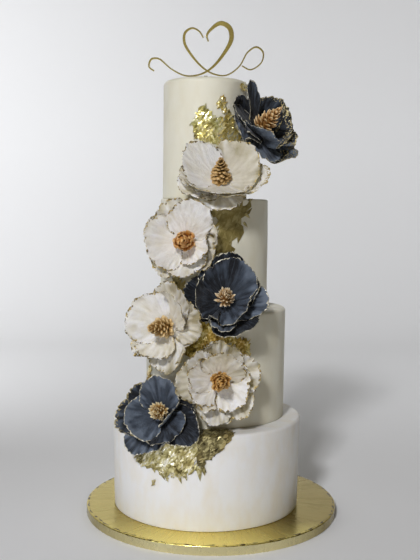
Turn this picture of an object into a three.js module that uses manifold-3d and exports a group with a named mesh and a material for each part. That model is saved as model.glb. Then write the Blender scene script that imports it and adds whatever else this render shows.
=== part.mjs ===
// A wedding cake of four round fondant tiers on a foil-covered drum.  Seven open
// sugar flowers stand in front of and beside the tiers, flecks of gold leaf are
// pressed on the icing, and a thin gilt heart with scrolls stands in the top tier.
// Millimetres, +Z up, the front towards -Y, the origin under the middle of the drum.

import * as THREE from 'three';
import { mergeVertices } from 'three/addons/utils/BufferGeometryUtils.js';
import Module from 'manifold-3d';

const wasm = await Module();
wasm.setup();
const { degToRad } = THREE.MathUtils;

// ---- driving dimensions ----

const gap = 0.3;                     // clearance between touching pieces

// The drum is a 14 inch round, half an inch thick.
const drum = { radius: 177.8, height: 12.7, chamfer: 1.2, segments: 60 };

// The tiers are nominal 10, 8, 6 and 4 inch cakes under their icing, each set down
// by hand, so that x and y are never quite the same.  edge rounds the upper rim.
const tiers = [
  { name: 'tier_1', x: -7.5, y: -1.3, footRadius: 130.6, radius: 133.2, foot: 12.7, top: 140.0, edge: 4 },
  { name: 'tier_2', x: 4.4, y: -1.3, footRadius: 97.6, radius: 98.4, foot: 140.0, top: 292.6, edge: 4.5 },
  { name: 'tier_3', x: 1.1, y: 0, footRadius: 75.3, radius: 75.3, foot: 292.6, top: 443.0, edge: 2.5 },
  { name: 'tier_4', x: -12.5, y: 0, footRadius: 58.9, radius: 58.9, foot: 443.0, top: 604.8, edge: 7 },
];
const tierSegments = 48;
const edgeSteps = 2;                 // facets round the upper rim

// Gold leaf lies on the icing in torn patches.  Each outline is drawn from the
// front, x from the tier's axis and z from the floor, and pressed on along Y.
const leafRelief = 0.8;
const leafPress = 10;                // a prism of leaf starts this far in front of its tier
const leafOutlines = {
  tier_1: [
    [[-94, 102], [-84, 91], [-65, 88], [-49, 77], [-41, 79], [-39, 87], [-28, 79], [-25, 87],
      [-17, 92], [-13, 115], [-20, 121], [-36, 127], [-59, 123], [-80, 114]],
    [[-11, 94], [-5, 84], [-1, 107], [5, 108], [14, 116], [36, 134], [24, 134], [-11, 133]],
    [[-70, 77], [-66, 76], [-65, 70], [-69, 68]],
  ],
  tier_2: [
    [[-46, 286], [-21, 286], [-18, 283], [-6, 278], [10, 263], [22, 261], [45, 258], [46, 244],
      [33, 239], [24, 252], [-4, 256], [-20, 247], [-23, 237], [-40, 235], [-45, 256]],
    [[-91, 211], [-88, 216], [-87, 203], [-90, 197], [-94, 198]],
    [[-54, 202], [-46, 211], [-40, 206], [-42, 190], [-50, 182], [-54, 191]],
  ],
  tier_3: [
    [[-7, 432], [20, 433], [47, 438], [46, 423], [37, 419], [34, 411], [41, 407], [34, 390],
      [23, 387], [25, 372], [10, 367], [-3, 371], [6, 400], [1, 417]],
    [[-63, 346], [-46, 339], [-36, 326], [-27, 312], [-20, 304], [-39, 305], [-51, 319]],
  ],
  tier_4: [
    [[0, 566], [-11, 562], [-19, 542], [-12, 524], [5, 517], [23, 512], [38, 518], [53, 527],
      [47, 536], [39, 543], [32, 562], [27, 560], [24, 550], [14, 550], [4, 557]],
    [[15, 568], [18, 576], [25, 578], [29, 570], [18, 562]],
    [[47, 594], [51, 597], [54, 592], [49, 587]],
  ],
};

// ---- flowers ----

// axis leans from the front by turn (to the right) and lift (upwards), in degrees.
// root is the way the stem runs back into the cake, cone the length and radius of
// the flower's middle.  A petal is [bearing, length, width, rise, curl, cup, twist,
// depth]: the bearing runs anticlockwise from the right, rise and curl are its
// slopes at claw and rim in degrees, cup lifts its sides, and depth sets it back.
const flowers = [
  {
    name: 'flower_1', at: [59.4, -42, 535.9], turn: 50, lift: 36, cone: [41, 12.6],
    root: [-0.86, 0.5, -0.2], colour: 'navy',
    petals: [
      [120, 66, 13, 25, 46, 6, -0.3, 0], [43, 62, 24, 10, 60, 5, 0.05, -0.8],
      [20, 62, 33, 10, 56, 5, 0.05, -0.8], [-15, 52, 32, 15, 76, 5, 0.05, -0.8],
      [236, 44, 32, 5, 64, 4, 0, -1.2], [165, 59, 30, 5, 24, 4, 0.05, -1.5],
      [134, 60, 26, 8, 35, 4, 0, -2.5], [181, 58, 26, 3, 22, 4, 0, -3],
      [265, 52, 34, -4, 5, 3, 0, -6], [310, 64, 34, 0, 32, 3, 0, -6.5],
      [344, 68, 32, 0, 42, 3, 0, -6.5],
    ],
  },
  {
    name: 'flower_2', at: [8.4, -86, 465.3], turn: 0, lift: 43, cone: [36.5, 13.6],
    root: [0, 0.73, -0.68], colour: 'white',
    petals: [
      [149, 65, 36, 10, 52, 6, 0.05, 0], [40, 65, 39, 10, 52, 6, 0.05, -0.8],
      [250, 56, 40, 12, 46, 6, 0.05, -1.6], [92, 58, 30, 8, 45, 4, 0, -3],
      [-62, 54, 26, 8, 42, 4, 0, -2.5], [175, 61, 28, 0, 38, 4, 0, -5],
      [197, 59, 28, 0, 15, 3, 0, -5], [8, 70, 27, 0, 28, 3, 0, -5],
      [-90, 48, 34, -8, 6, 3, 0, -6],
    ],
  },
  {
    name: 'flower_3', at: [-37.4, -84, 386.3], turn: -4, lift: 3, cone: [42, 14],
    root: [0.07, 1, -0.05], colour: 'white',
    petals: [
      [76, 63, 29, 8, 38, 5, 0.05, 0], [185, 57, 38, 8, 40, 5, 0.05, -0.5],
      [-38, 42, 25, 15, 58, 5, 0.05, 0.5], [262, 52, 34, 8, 42, 5, 0.05, -1.5],
      [118, 61, 30, 0, 30, 3, 0, -5], [150, 58, 30, 0, 32, 3, 0, -4.5],
      [226, 57, 30, 0, 30, 3, 0, -5], [-48, 50, 32, 0, 40, 3, 0, -5],
      [12, 49, 34, 0, 42, 3, 0, -4.5],
    ],
  },
  {
    name: 'flower_4', at: [14.9, -106, 309.7], turn: 3, lift: 26, cone: [38, 11.2],
    root: [0, 0.76, -0.65], colour: 'navy',
    petals: [
      [74, 60, 36, 10, 54, 5, 0.05, 0], [156, 53, 37, 8, 74, 5, 0.05, -0.8],
      [-32, 45, 33, 12, 62, 5, 0.05, -0.8], [236, 42, 30, 12, 56, 5, 0.05, -1.6],
      [88, 66, 36, 0, 42, 3, 0, -6.5], [38, 54, 26, 0, 42, 3, 0, -6],
      [172, 60, 30, 0, 35, 3, 0, -6.5], [-2, 60, 25, 0, 25, 3, 0, -6.5],
      [262, 56, 20, 5, 50, 3, 0, -5], [-55, 60, 36, -5, 48, 4, 0, -6.5],
    ],
  },
  {
    name: 'flower_5', at: [-58.5, -97, 274.6], turn: -32, lift: 3, cone: [35.6, 13.5],
    root: [0.53, 0.85, -0.05], colour: 'white',
    petals: [
      [151, 59, 38, 10, 52, 5, 0.05, 0], [63, 60, 28, 10, 52, 5, 0.05, -0.8],
      [224, 52, 34, 10, 44, 5, 0.05, -0.8], [83, 66, 28, 0, 30, 3, 0, -5],
      [17, 60, 29, 0, 22, 3, 0, -5], [-98, 63, 30, 0, 15, 3, 0, -5],
      [238, 60, 34, 5, 44, 3, 0, -3.2], [-58, 56, 26, 5, 44, 3, 0, -4],
      [200, 60, 24, 0, 40, 3, 0, -4.5],
    ],
  },
  {
    name: 'flower_6', at: [8, -117, 207.7], turn: 6, lift: 2, cone: [39.6, 12.2],
    root: [-0.1, 1, -0.03], colour: 'white',
    petals: [
      [69, 43, 31, 8, 45, 4, 0.05, 0], [-24, 46, 32, 8, 44, 4, 0.05, 0],
      [157, 49, 23, 8, 40, 4, 0.05, -0.8], [205, 46, 25, 8, 42, 4, 0.05, -0.8],
      [240, 47, 18, 8, 42, 4, 0.05, -1.5], [136, 55, 24, 5, 38, 3, 0, -2],
      [85, 53, 32, 0, 25, 3, 0, -5], [18, 57, 30, 0, 25, 3, 0, -5],
      [-50, 60, 26, 0, 26, 3, 0, -5], [-97, 61, 26, 0, 22, 3, 0, -5],
      [-75, 58, 20, 0, 25, 3, 0, -4], [184, 59, 30, 0, 28, 3, 0, -5],
    ],
  },
  {
    name: 'flower_7', at: [-66.5, -120, 165.8], turn: -10, lift: 12, cone: [35, 11.2],
    root: [0.23, 0.66, -0.71], colour: 'navy',
    petals: [
      [92, 54, 27, 8, 44, 5, 0.05, 0], [200, 49, 30, 8, 45, 5, 0.05, -0.3],
      [-38, 31, 29, 10, 105, 4, 0, -0.8], [-62, 52, 29, 8, 70, 5, 0.05, -2.2],
      [145, 51, 24, 0, 25, 3, 0, -6], [190, 64, 26, 0, 20, 3, 0, -6],
      [235, 64, 28, 0, 15, 3, 0, -6.5], [-31, 62, 28, 0, 30, 4, 0, -6.5],
      [8, 47, 28, 0, 25, 3, 0, -6],
    ],
  },
];

// Where two flowers touch, the later one in this list gives way to the earlier.
const stackingOrder = [3, 6, 5, 2, 4, 7, 1];

const petalFan = 78;                 // half the angle that a petal's outline sweeps, degrees
const petalWaist = 0.62;             // half width of a petal of this outline, for each mm of length
const petalThickness = 1.6;
const petalOffCake = 2.6;            // a petal's middle stays this far off the icing
const outerDepth = -2.4;             // petals set back this far or more are in the outer whorl
const whorlColumns = 30;             // lines from the middle of a whorl to its rim
const whorlRows = [0.25, 0.62, 1];   // how far out along a line its points lie
const shortPetal = 40;               // the least length that a clearance is reckoned over
const ledgeReach = 4;                // a point sunk this little further than it is in goes outwards
const rimSamples = 40;
const stem = { baseRadius: 8, tipRadius: 6, front: 3, length: 60, sides: 8 };

// The middle of a flower: radius along its length, and rows of scales as bumps.
const coneFoot = 3;
const coneProfile = [[0, 0.62], [0.17, 1], [0.45, 0.92], [0.72, 0.62], [0.93, 0.26]];
const coneSides = 12;
const scaleDepth = 0.9;
const tipRoom = 2;                   // free length kept past the middle's tip

// ---- topper ----

const topper = { depth: 3, lift: 6, stakeWidth: 5, stakeDepth: 28, stakeRise: 17, steps: 28 };

// Two pen strokes cross under a heart and end in scrolls.  Points are x and z from
// the topper's foot, and widths run from the start of a stroke to its end.
const strokes = [
  {
    points: [[3, 50], [1, 58], [7, 67], [20, 75], [32, 69], [35, 54], [25, 34], [8, 14],
      [-8, 5], [-28, 3], [-48, 12], [-66, 26], [-76, 25], [-79, 15], [-72, 9]],
    widths: [1.8, 2.6, 4, 6, 6.8, 6.4, 4.6, 3, 2.2, 1.9, 1.8, 2.2, 2.6, 2.2, 1.8],
  },
  {
    points: [[-4, 55], [-9, 63], [-19, 68], [-29, 62], [-30, 48], [-20, 31], [-4, 14], [10, 6],
      [28, 4], [46, 16], [58, 36], [70, 43], [79, 36], [77, 22], [62, 12], [50, 17]],
    widths: [1.8, 2, 2.4, 3.4, 3.8, 3.2, 2.4, 2, 1.8, 1.8, 2, 2.4, 2.2, 1.8, 1.7, 1.7],
  },
];

// ---- materials ----

const finish = (color, roughness, metalness = 0) => {
  return new THREE.MeshStandardMaterial({ color, roughness, metalness, flatShading: true });
};
const fondant = () => finish(0xf2eee2, 0.6);
const goldFoil = () => finish(0xd8c07a, 0.25, 0.9);
const petalPaste = { white: () => finish(0xefebe2, 0.65), navy: () => finish(0x3b4250, 0.6) };
const gildedPaste = () => finish(0xc98a3e, 0.5, 0.2);
const goldMirror = () => finish(0xa89c50, 0.12, 1);

// ---- solids ----

// A closed geometry as a solid, with shared corners merged and flat slivers dropped.
function solidOf(geometry) {
  const bare = geometry.clone();
  bare.deleteAttribute('normal');
  bare.deleteAttribute('uv');
  const merged = mergeVertices(bare, 1e-4);
  const corners = merged.index.array;
  const kept = [];
  for (let i = 0; i < corners.length; i += 3) {
    const [a, b, c] = [corners[i], corners[i + 1], corners[i + 2]];
    if (a !== b && b !== c && c !== a) kept.push(a, b, c);
  }
  return new wasm.Manifold(new wasm.Mesh({
    numProp: 3,
    vertProperties: new Float32Array(merged.attributes.position.array),
    triVerts: new Uint32Array(kept),
  }));
}

// The solid's largest piece: loose scraps left by a cut are dropped.
function largestPiece(solid) {
  const pieces = solid.decompose();
  return pieces.reduce((best, piece) => (piece.volume() > best.volume() ? piece : best));
}

function meshOf(name, solid, material) {
  const { numProp, vertProperties, triVerts } = solid.getMesh();
  const positions = new Float32Array((vertProperties.length / numProp) * 3);
  for (let i = 0; i < positions.length / 3; i += 1) {
    positions.set(vertProperties.slice(i * numProp, i * numProp + 3), i * 3);
  }
  const geometry = new THREE.BufferGeometry();
  geometry.setAttribute('position', new THREE.BufferAttribute(positions, 3));
  geometry.setIndex(new THREE.BufferAttribute(new Uint32Array(triVerts), 1));
  geometry.computeVertexNormals();
  const mesh = new THREE.Mesh(geometry, material);
  mesh.name = name;
  return mesh;
}

// A lathe round Z from [radius, z] points that start and end on the axis.
function turned(profile, segments) {
  const points = profile.map(([radius, z]) => new THREE.Vector2(radius, z));
  return new THREE.LatheGeometry(points, segments).rotateX(Math.PI / 2);
}

// A prism of an outline in x and z, from yFront back by depth.
function pressed(outline, yFront, depth) {
  const shape = new THREE.Shape(outline.map(([x, z]) => new THREE.Vector2(x, z)));
  const prism = new THREE.ExtrudeGeometry(shape, { depth, bevelEnabled: false, steps: 1 });
  return prism.rotateX(Math.PI / 2).translate(0, yFront + depth, 0);
}

// ---- drum and tiers ----

function drumSolid() {
  const { radius, height, chamfer, segments } = drum;
  const profile = [[0, 0], [radius - chamfer, 0], [radius, chamfer], [radius, height - chamfer],
    [radius - chamfer, height], [0, height]];
  return solidOf(turned(profile, segments));
}

// A bare tier, grown all round by spare.
function tierBody(tier, spare) {
  const radius = tier.radius + spare;
  const foot = tier.foot + gap - spare;
  const top = tier.top + spare;
  const profile = [[0, foot], [tier.footRadius + spare, foot], [radius, top - tier.edge]];
  for (let i = 1; i <= edgeSteps; i += 1) {
    const turn = (i / edgeSteps) * (Math.PI / 2);
    profile.push([radius - tier.edge * (1 - Math.cos(turn)), top - tier.edge * (1 - Math.sin(turn))]);
  }
  profile.push([0, top]);
  return solidOf(turned(profile, tierSegments).translate(tier.x, tier.y, 0));
}

// A tier with its gold leaf, grown all round by spare.
function tierSolid(tier, spare = 0) {
  const face = tierBody(tier, leafRelief + spare);
  const reach = tier.radius + leafPress;
  let solid = tierBody(tier, spare);
  for (const outline of leafOutlines[tier.name]) {
    const leaf = solidOf(pressed(outline, -reach, reach).translate(tier.x, tier.y, 0));
    solid = solid.add(leaf.intersect(face));
  }
  return solid;
}

// ---- flowers ----

// A repeatable number from 0 to 2 pi for each petal, which sets how its rim wanders.
function phaseOf(flower, index, which) {
  const number = flowers.indexOf(flower) + 1;
  const mixed = Math.sin(12.9898 * (index + 7 * number + 1) + 78.233 * which) * 43758.5453;
  return (mixed - Math.floor(mixed)) * 2 * Math.PI;
}

function petalPhases(flower, index) {
  return [phaseOf(flower, index, 0), phaseOf(flower, index, 1)];
}

function flowerFrame(flower) {
  const turn = degToRad(flower.turn);
  const lift = degToRad(flower.lift);
  const out = new THREE.Vector3(
    Math.sin(turn) * Math.cos(lift),
    -Math.cos(turn) * Math.cos(lift),
    Math.sin(lift),
  );
  const right = new THREE.Vector3(0, 0, 1).cross(out).normalize();
  const up = out.clone().cross(right);
  return new THREE.Matrix4().makeBasis(right, up, out).setPosition(...flower.at);
}

// A point of a petal's middle surface, u across it from -1 to 1 and v out from its
// claw to its rim, in the flower's own frame with the axis along z.
function petalPoint(petal, phases, u, v, grow) {
  const [bearing, bareLength, bareWidth, rise, curl, cup, twist, depth] = petal;
  const { smoothstep } = THREE.MathUtils;
  const length = bareLength * grow;
  const width = bareWidth * grow;
  const fan = degToRad(petalFan) * u;
  const ragged = 1 + 0.035 * Math.sin(3 * fan + phases[0]) + 0.02 * Math.sin(7 * fan + phases[1]);
  const reach = length * Math.sqrt(Math.cos(fan)) * ragged * v;
  const along = reach * Math.cos(fan);
  const across = (reach * Math.sin(fan) * width) / (petalWaist * length);
  // The midline starts at the rise and bends evenly to the curl.
  const bend = degToRad(curl - rise) / length;
  const start = degToRad(rise);
  const slope = start + bend * along;
  const outward = (Math.sin(slope) - Math.sin(start)) / bend;
  const upward = (Math.cos(start) - Math.cos(slope)) / bend;
  const lifted = cup * (across / width) ** 2 * smoothstep(along, 0, 0.7 * length)
    + twist * across * smoothstep(Math.hypot(across, along), 0, 0.5 * length);
  const radial = outward - lifted * Math.sin(slope);
  const height = upward + lifted * Math.cos(slope) + depth;
  return new THREE.Vector3(radial, across, height)
    .applyAxisAngle(new THREE.Vector3(0, 0, 1), degToRad(bearing));
}

// Moves a point that would lie in a tier out to its side or up on its top.
function clearOfTiers(point) {
  for (const tier of tiers) {
    const dx = point.x - tier.x;
    const dy = point.y - tier.y;
    const distance = Math.hypot(dx, dy);
    const outBy = tier.radius + petalOffCake - distance;
    const upBy = tier.top + petalOffCake - point.z;
    const beside = point.z > tier.foot - petalOffCake;
    if (outBy <= 0 || upBy <= 0 || !beside) continue;
    if (outBy <= upBy + ledgeReach) {
      const stretch = (tier.radius + petalOffCake) / distance;
      point.set(tier.x + dx * stretch, tier.y + dy * stretch, point.z);
    } else {
      point.z += upBy;
    }
  }
  return point;
}

// The place on a petal's rim that lies at an angle round the flower: how far out it
// is, and its u.  A petal that doesn't reach round so far counts as not there.
function rimAt(petal, phases, angle) {
  let best = { radius: 0, u: 0 };
  for (let i = 0; i <= rimSamples; i += 1) {
    const u = (2 * i) / rimSamples - 1;
    const point = petalPoint(petal, phases, u, 1, 1);
    const off = Math.atan2(point.y, point.x) - angle;
    const radius = Math.hypot(point.x, point.y);
    const near = Math.cos(off) > Math.cos(Math.PI / whorlColumns);
    if (near && radius > best.radius) best = { radius, u };
  }
  return best;
}

// A whorl of petals as lines of points from its middle to its rim.  Each line lies on
// the petal that reaches furthest out there, so that the rim follows every petal.
function whorlLines(flower, isOuter, grow) {
  const frame = flowerFrame(flower);
  const members = [...flower.petals.keys()].filter((i) => flower.petals[i][7] <= outerDepth === isOuter);
  const lines = [];
  for (let k = 0; k < whorlColumns; k += 1) {
    const angle = (k / whorlColumns) * 2 * Math.PI;
    const rims = members.map((i) => rimAt(flower.petals[i], petalPhases(flower, i), angle));
    const furthest = rims.reduce((best, rim, i) => (rim.radius > rims[best].radius ? i : best), 0);
    if (rims[furthest].radius === 0) continue;
    const index = members[furthest];
    const phases = petalPhases(flower, index);
    const { u } = rims[furthest];
    lines.push(whorlRows.map((v) => {
      const point = petalPoint(flower.petals[index], phases, u, v, grow);
      return clearOfTiers(point.applyMatrix4(frame));
    }));
  }
  return lines;
}

// The normal of a whorl at a point, from its neighbours round it and along its line.
function whorlNormal(lines, i, j) {
  const count = lines.length;
  const around = lines[(i + 1) % count][j].clone().sub(lines[(i + count - 1) % count][j]);
  const ends = [Math.max(j - 1, 0), Math.min(j + 1, lines[i].length - 1)];
  return lines[i][ends[1]].clone().sub(lines[i][ends[0]]).cross(around).normalize();
}

// A whorl as a thin closed sheet, both faces split into triangles alike.
function whorlSolid(flower, isOuter, spare) {
  const lines = whorlLines(flower, isOuter, 1 + spare / shortPetal);
  const rows = whorlRows.length;
  const middle = new THREE.Vector3();
  lines.forEach((line) => middle.addScaledVector(line[0], 1 / lines.length));
  const axis = new THREE.Vector3().setFromMatrixColumn(flowerFrame(flower), 2);
  const positions = [];
  for (const side of [0.5, -0.5]) {
    const offset = side * (petalThickness + 2 * spare);
    positions.push(...middle.clone().addScaledVector(axis, offset));
    lines.forEach((line, i) => line.forEach((point, j) => {
      positions.push(...point.clone().addScaledVector(whorlNormal(lines, i, j), offset));
    }));
  }
  const back = positions.length / 6;
  const corners = [];
  const addBoth = (a, b, c) => corners.push(a, b, c, back + a, back + c, back + b);
  lines.forEach((line, i) => {
    const here = 1 + i * rows;
    const next = 1 + ((i + 1) % lines.length) * rows;
    addBoth(0, here, next);
    for (let j = 0; j < rows - 1; j += 1) {
      addBoth(here + j, here + j + 1, next + j + 1);
      addBoth(here + j, next + j + 1, next + j);
    }
    const [a, b] = [here + rows - 1, next + rows - 1];
    corners.push(a, back + a, back + b, a, back + b, b);
  });
  const geometry = new THREE.BufferGeometry();
  geometry.setAttribute('position', new THREE.Float32BufferAttribute(positions, 3));
  geometry.setIndex(corners);
  return solidOf(geometry);
}

function stemSolid(flower) {
  const { baseRadius, tipRadius, front, length, sides } = stem;
  const way = new THREE.Vector3(...flower.root).normalize();
  const turnToWay = new THREE.Quaternion().setFromUnitVectors(new THREE.Vector3(0, 1, 0), way);
  const tapered = new THREE.CylinderGeometry(tipRadius, baseRadius, length, sides);
  tapered.translate(0, length / 2 - front, 0).applyQuaternion(turnToWay);
  return solidOf(tapered.translate(...flower.at));
}

// The middle of a flower, a cone of overlapping scales in staggered rows.
function coneSolid(flower) {
  const [length, width] = flower.cone;
  const geometry = turned([[0, 0], ...coneProfile.map(([z, r]) => [r, z]), [0, 1]], coneSides);
  const place = geometry.attributes.position;
  for (let i = 0; i < place.count; i += 1) {
    const [x, y, z] = [place.getX(i), place.getY(i), place.getZ(i)];
    const row = coneProfile.findIndex(([height]) => Math.abs(height - z) < 1e-3);
    const angle = Math.atan2(y, x);
    const bump = 1 + (scaleDepth / width) * Math.cos(angle * (coneSides / 2) + row * Math.PI);
    place.setXYZ(i, x * width * bump, y * width * bump, coneFoot + gap + z * length);
  }
  return solidOf(geometry.applyMatrix4(flowerFrame(flower)));
}

// The room that a flower's middle takes up, with the gap round it.
function coneRoom(flower) {
  const [length, width] = flower.cone;
  const around = scaleDepth + 2 * gap;
  const profile = coneProfile.map(([z, r]) => [r * width + around, coneFoot + gap + z * length]);
  const tip = coneFoot + length + tipRoom;
  const closed = [[0, coneFoot], [profile[0][0], coneFoot], ...profile, [0, tip]];
  return solidOf(turned(closed, coneSides).applyMatrix4(flowerFrame(flower)));
}

function bloomSolid(flower, spare = 0) {
  return whorlSolid(flower, false, spare).add(whorlSolid(flower, true, spare));
}

// All flowers, each cut clear of the tiers, of its own middle and of those before it.
function flowerMeshes() {
  const cake = tiers.map((tier) => tierSolid(tier, gap));
  const taken = [];
  const meshes = [];
  for (const number of stackingOrder) {
    const flower = flowers[number - 1];
    let bloom = bloomSolid(flower).add(stemSolid(flower));
    for (const solid of [...cake, ...taken, coneRoom(flower)]) bloom = bloom.subtract(solid);
    let middle = coneSolid(flower);
    for (const solid of taken) middle = middle.subtract(solid);
    taken.push(bloomSolid(flower, gap), coneRoom(flower));
    const paste = petalPaste[flower.colour]();
    meshes.push(meshOf(`${flower.name}_petals`, largestPiece(bloom), paste));
    meshes.push(meshOf(`${flower.name}_centre`, largestPiece(middle), gildedPaste()));
  }
  return meshes;
}

// ---- topper ----

// A pen stroke as an outline, from its middle line and its widths.
function strokeOutline({ points, widths }) {
  const line = new THREE.CatmullRomCurve3(points.map(([x, z]) => new THREE.Vector3(x, 0, z)));
  const leftSide = [];
  const rightSide = [];
  const steps = topper.steps;
  for (let i = 0; i <= steps; i += 1) {
    const place = line.getPoint(i / steps);
    const way = line.getTangent(i / steps);
    const along = (i / steps) * (widths.length - 1);
    const before = Math.min(Math.floor(along), widths.length - 2);
    const half = THREE.MathUtils.lerp(widths[before], widths[before + 1], along - before) / 2;
    leftSide.push([place.x - way.z * half, place.z + way.x * half]);
    rightSide.unshift([place.x + way.z * half, place.z - way.x * half]);
  }
  return [...leftSide, ...rightSide];
}

function stakeBox(spare) {
  const height = topper.stakeDepth + topper.stakeRise + spare;
  const box = new THREE.BoxGeometry(topper.stakeWidth + 2 * spare, topper.depth + 2 * spare, height);
  return box.translate(0, 0, topper.stakeRise - height / 2);
}

function topperSolid() {
  const { x, y, top } = tiers[3];
  const yFront = -topper.depth / 2;
  let solid = solidOf(stakeBox(0));
  for (const stroke of strokes) {
    const outline = strokeOutline(stroke);
    for (let i = 0; i < topper.steps; i += 1) {
      const last = outline.length - 1;
      const piece = [outline[i], outline[i + 1], outline[last - i - 1], outline[last - i]];
      solid = solid.add(solidOf(pressed(piece, yFront, topper.depth).translate(0, 0, topper.lift)));
    }
  }
  return solid.translate([x, y, top]);
}

// ---- the cake ----

function tierMesh(tier) {
  let solid = tierSolid(tier);
  if (tier.name === 'tier_4') {
    const slot = solidOf(stakeBox(gap).translate(tier.x, tier.y, tier.top));
    solid = solid.subtract(slot);
  }
  return meshOf(tier.name, solid, fondant());
}

const cake = new THREE.Group();
cake.add(meshOf('drum', drumSolid(), goldFoil()));
for (const tier of tiers) cake.add(tierMesh(tier));
for (const mesh of flowerMeshes()) cake.add(mesh);
cake.add(meshOf('topper', topperSolid(), goldMirror()));

export default cake;
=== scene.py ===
import math

import bpy
import numpy as np
from mathutils import Matrix, Vector


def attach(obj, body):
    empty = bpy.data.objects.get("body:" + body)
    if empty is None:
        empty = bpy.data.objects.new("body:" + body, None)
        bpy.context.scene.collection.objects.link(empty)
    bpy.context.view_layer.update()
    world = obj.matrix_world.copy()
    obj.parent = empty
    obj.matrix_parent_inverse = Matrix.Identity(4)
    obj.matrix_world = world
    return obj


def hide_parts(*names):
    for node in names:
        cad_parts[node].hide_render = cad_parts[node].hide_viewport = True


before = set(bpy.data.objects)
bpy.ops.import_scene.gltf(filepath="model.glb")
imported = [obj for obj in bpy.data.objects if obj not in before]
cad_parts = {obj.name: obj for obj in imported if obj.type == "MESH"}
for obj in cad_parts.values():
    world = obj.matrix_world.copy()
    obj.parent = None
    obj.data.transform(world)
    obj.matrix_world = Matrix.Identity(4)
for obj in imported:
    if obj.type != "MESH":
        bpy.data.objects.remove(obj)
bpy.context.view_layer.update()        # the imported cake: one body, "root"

mm = 0.001                           # sizes below are in millimetres, the scene is in metres
collection = bpy.context.scene.collection


# An sRGB hex colour as linear light.
def linear(hexColour):
    parts = [int(hexColour[i:i + 2], 16) / 255 for i in (1, 3, 5)]
    return tuple(p / 12.92 if p <= 0.04045 else ((p + 0.055) / 1.055) ** 2.4 for p in parts) + (1.0,)


# Sets a node's sockets to values, or links them to other nodes' sockets.
def setSockets(node, sockets):
    for key, value in sockets.items():
        if isinstance(value, bpy.types.NodeSocket):
            node.id_data.links.new(value, node.inputs[key])
        else:
            node.inputs[key].default_value = value


# Adds a node with its settings and links, and gives back the output that out names.  A
# kind that names no family is a shader node, and stops are a colour ramp's places and
# colours.
def addNode(tree, kind, sockets=None, out=0, stops=(), **settings):
    node = tree.nodes.new(kind if "Node" in kind else "ShaderNode" + kind)
    for name, value in settings.items():
        setattr(node, name, value)
    setSockets(node, sockets or {})
    if stops:
        elements = node.color_ramp.elements
        while len(elements) < len(stops):
            elements.new(0.5)
        for element, (place, colour) in zip(elements, stops):
            element.position = place
            element.color = colour
    return node.outputs[out] if node.outputs else node


def newMaterial(name, **shaderValues):
    material = bpy.data.materials.new(name)
    material.use_nodes = True
    tree = material.node_tree
    tree.nodes.clear()
    sockets = {key.replace("_", " "): value for key, value in shaderValues.items()}
    surface = addNode(tree, "BsdfPrincipled", sockets)
    addNode(tree, "OutputMaterial", {"Surface": surface})
    return material, tree, surface.node


# Smooth numbers from -1 to 1 that wander over x and y, one every size millimetres.
def latticeNoise(x, y, size, seed):
    gx, gy = np.asarray(x, float) / size, np.asarray(y, float) / size
    x0, y0 = np.floor(gx), np.floor(gy)
    fx, fy = gx - x0, gy - y0
    fx, fy = fx * fx * (3 - 2 * fx), fy * fy * (3 - 2 * fy)

    def corner(i, j):
        mixed = np.sin((x0 + i) * 127.1 + (y0 + j) * 311.7 + seed * 74.7) * 43758.5453
        return 2 * (mixed - np.floor(mixed)) - 1

    low = corner(0, 0) * (1 - fx) + corner(1, 0) * fx
    high = corner(0, 1) * (1 - fx) + corner(1, 1) * fx
    return low * (1 - fy) + high * fy


def smoothstep(x, low, high):
    t = np.clip((x - low) / (high - low), 0, 1)
    return t * t * (3 - 2 * t)


# Quads over a grid of points that is stored row by row.
def gridFaces(rows, columns, wrap=False):
    i, j = np.meshgrid(np.arange(rows - 1), np.arange(columns - (not wrap)), indexing="ij")
    a, b = i * columns + j, i * columns + (j + 1) % columns
    return np.stack([a, b, b + columns, a + columns], axis=-1).reshape(-1, 4).tolist()


# A shell is its points, its faces, and its values at each point, by name.
def joinShells(shells):
    faces, start = [], 0
    for points, own, _ in shells:
        faces += [[corner + start for corner in face] for face in own]
        start += len(points)
    values = {key: np.concatenate([shell[2][key] for shell in shells]) for key in shells[0][2]}
    return np.concatenate([shell[0] for shell in shells]), faces, values


# Turns a closed shell's faces outwards, by the sign of the volume that they enclose.
def facedOut(points, faces):
    volume = 0.0
    for size in {len(face) for face in faces}:
        corners = points[np.array([face for face in faces if len(face) == size])]
        for k in range(1, size - 1):
            volume += np.sum(corners[:, 0] * np.cross(corners[:, k], corners[:, k + 1]))
    return faces if volume > 0 else [face[::-1] for face in faces]


def makeMesh(name, shell, material, smooth=True):
    points, faces, values = shell
    mesh = bpy.data.meshes.new(name)
    mesh.from_pydata((points * mm).tolist(), [], faces)
    for key, value in values.items():
        if key == "uv":
            layer = mesh.uv_layers.new(name="UVMap")
            corners = np.zeros(len(mesh.loops), np.int32)
            mesh.loops.foreach_get("vertex_index", corners)
            layer.data.foreach_set("uv", value[corners].astype(np.float32).ravel())
        else:
            attribute = mesh.attributes.new(key, "FLOAT", "POINT")
            attribute.data.foreach_set("value", value.astype(np.float32))
    mesh.materials.append(material)
    mesh.polygons.foreach_set("use_smooth", [smooth] * len(mesh.polygons))
    mesh.validate()
    mesh.update()
    return mesh


def makePiece(name, mesh, slot, *replaced):
    piece = bpy.data.objects.new(name, mesh)
    collection.objects.link(piece)
    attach(piece, "root")
    if replaced:
        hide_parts(*replaced)
    return piece


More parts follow.
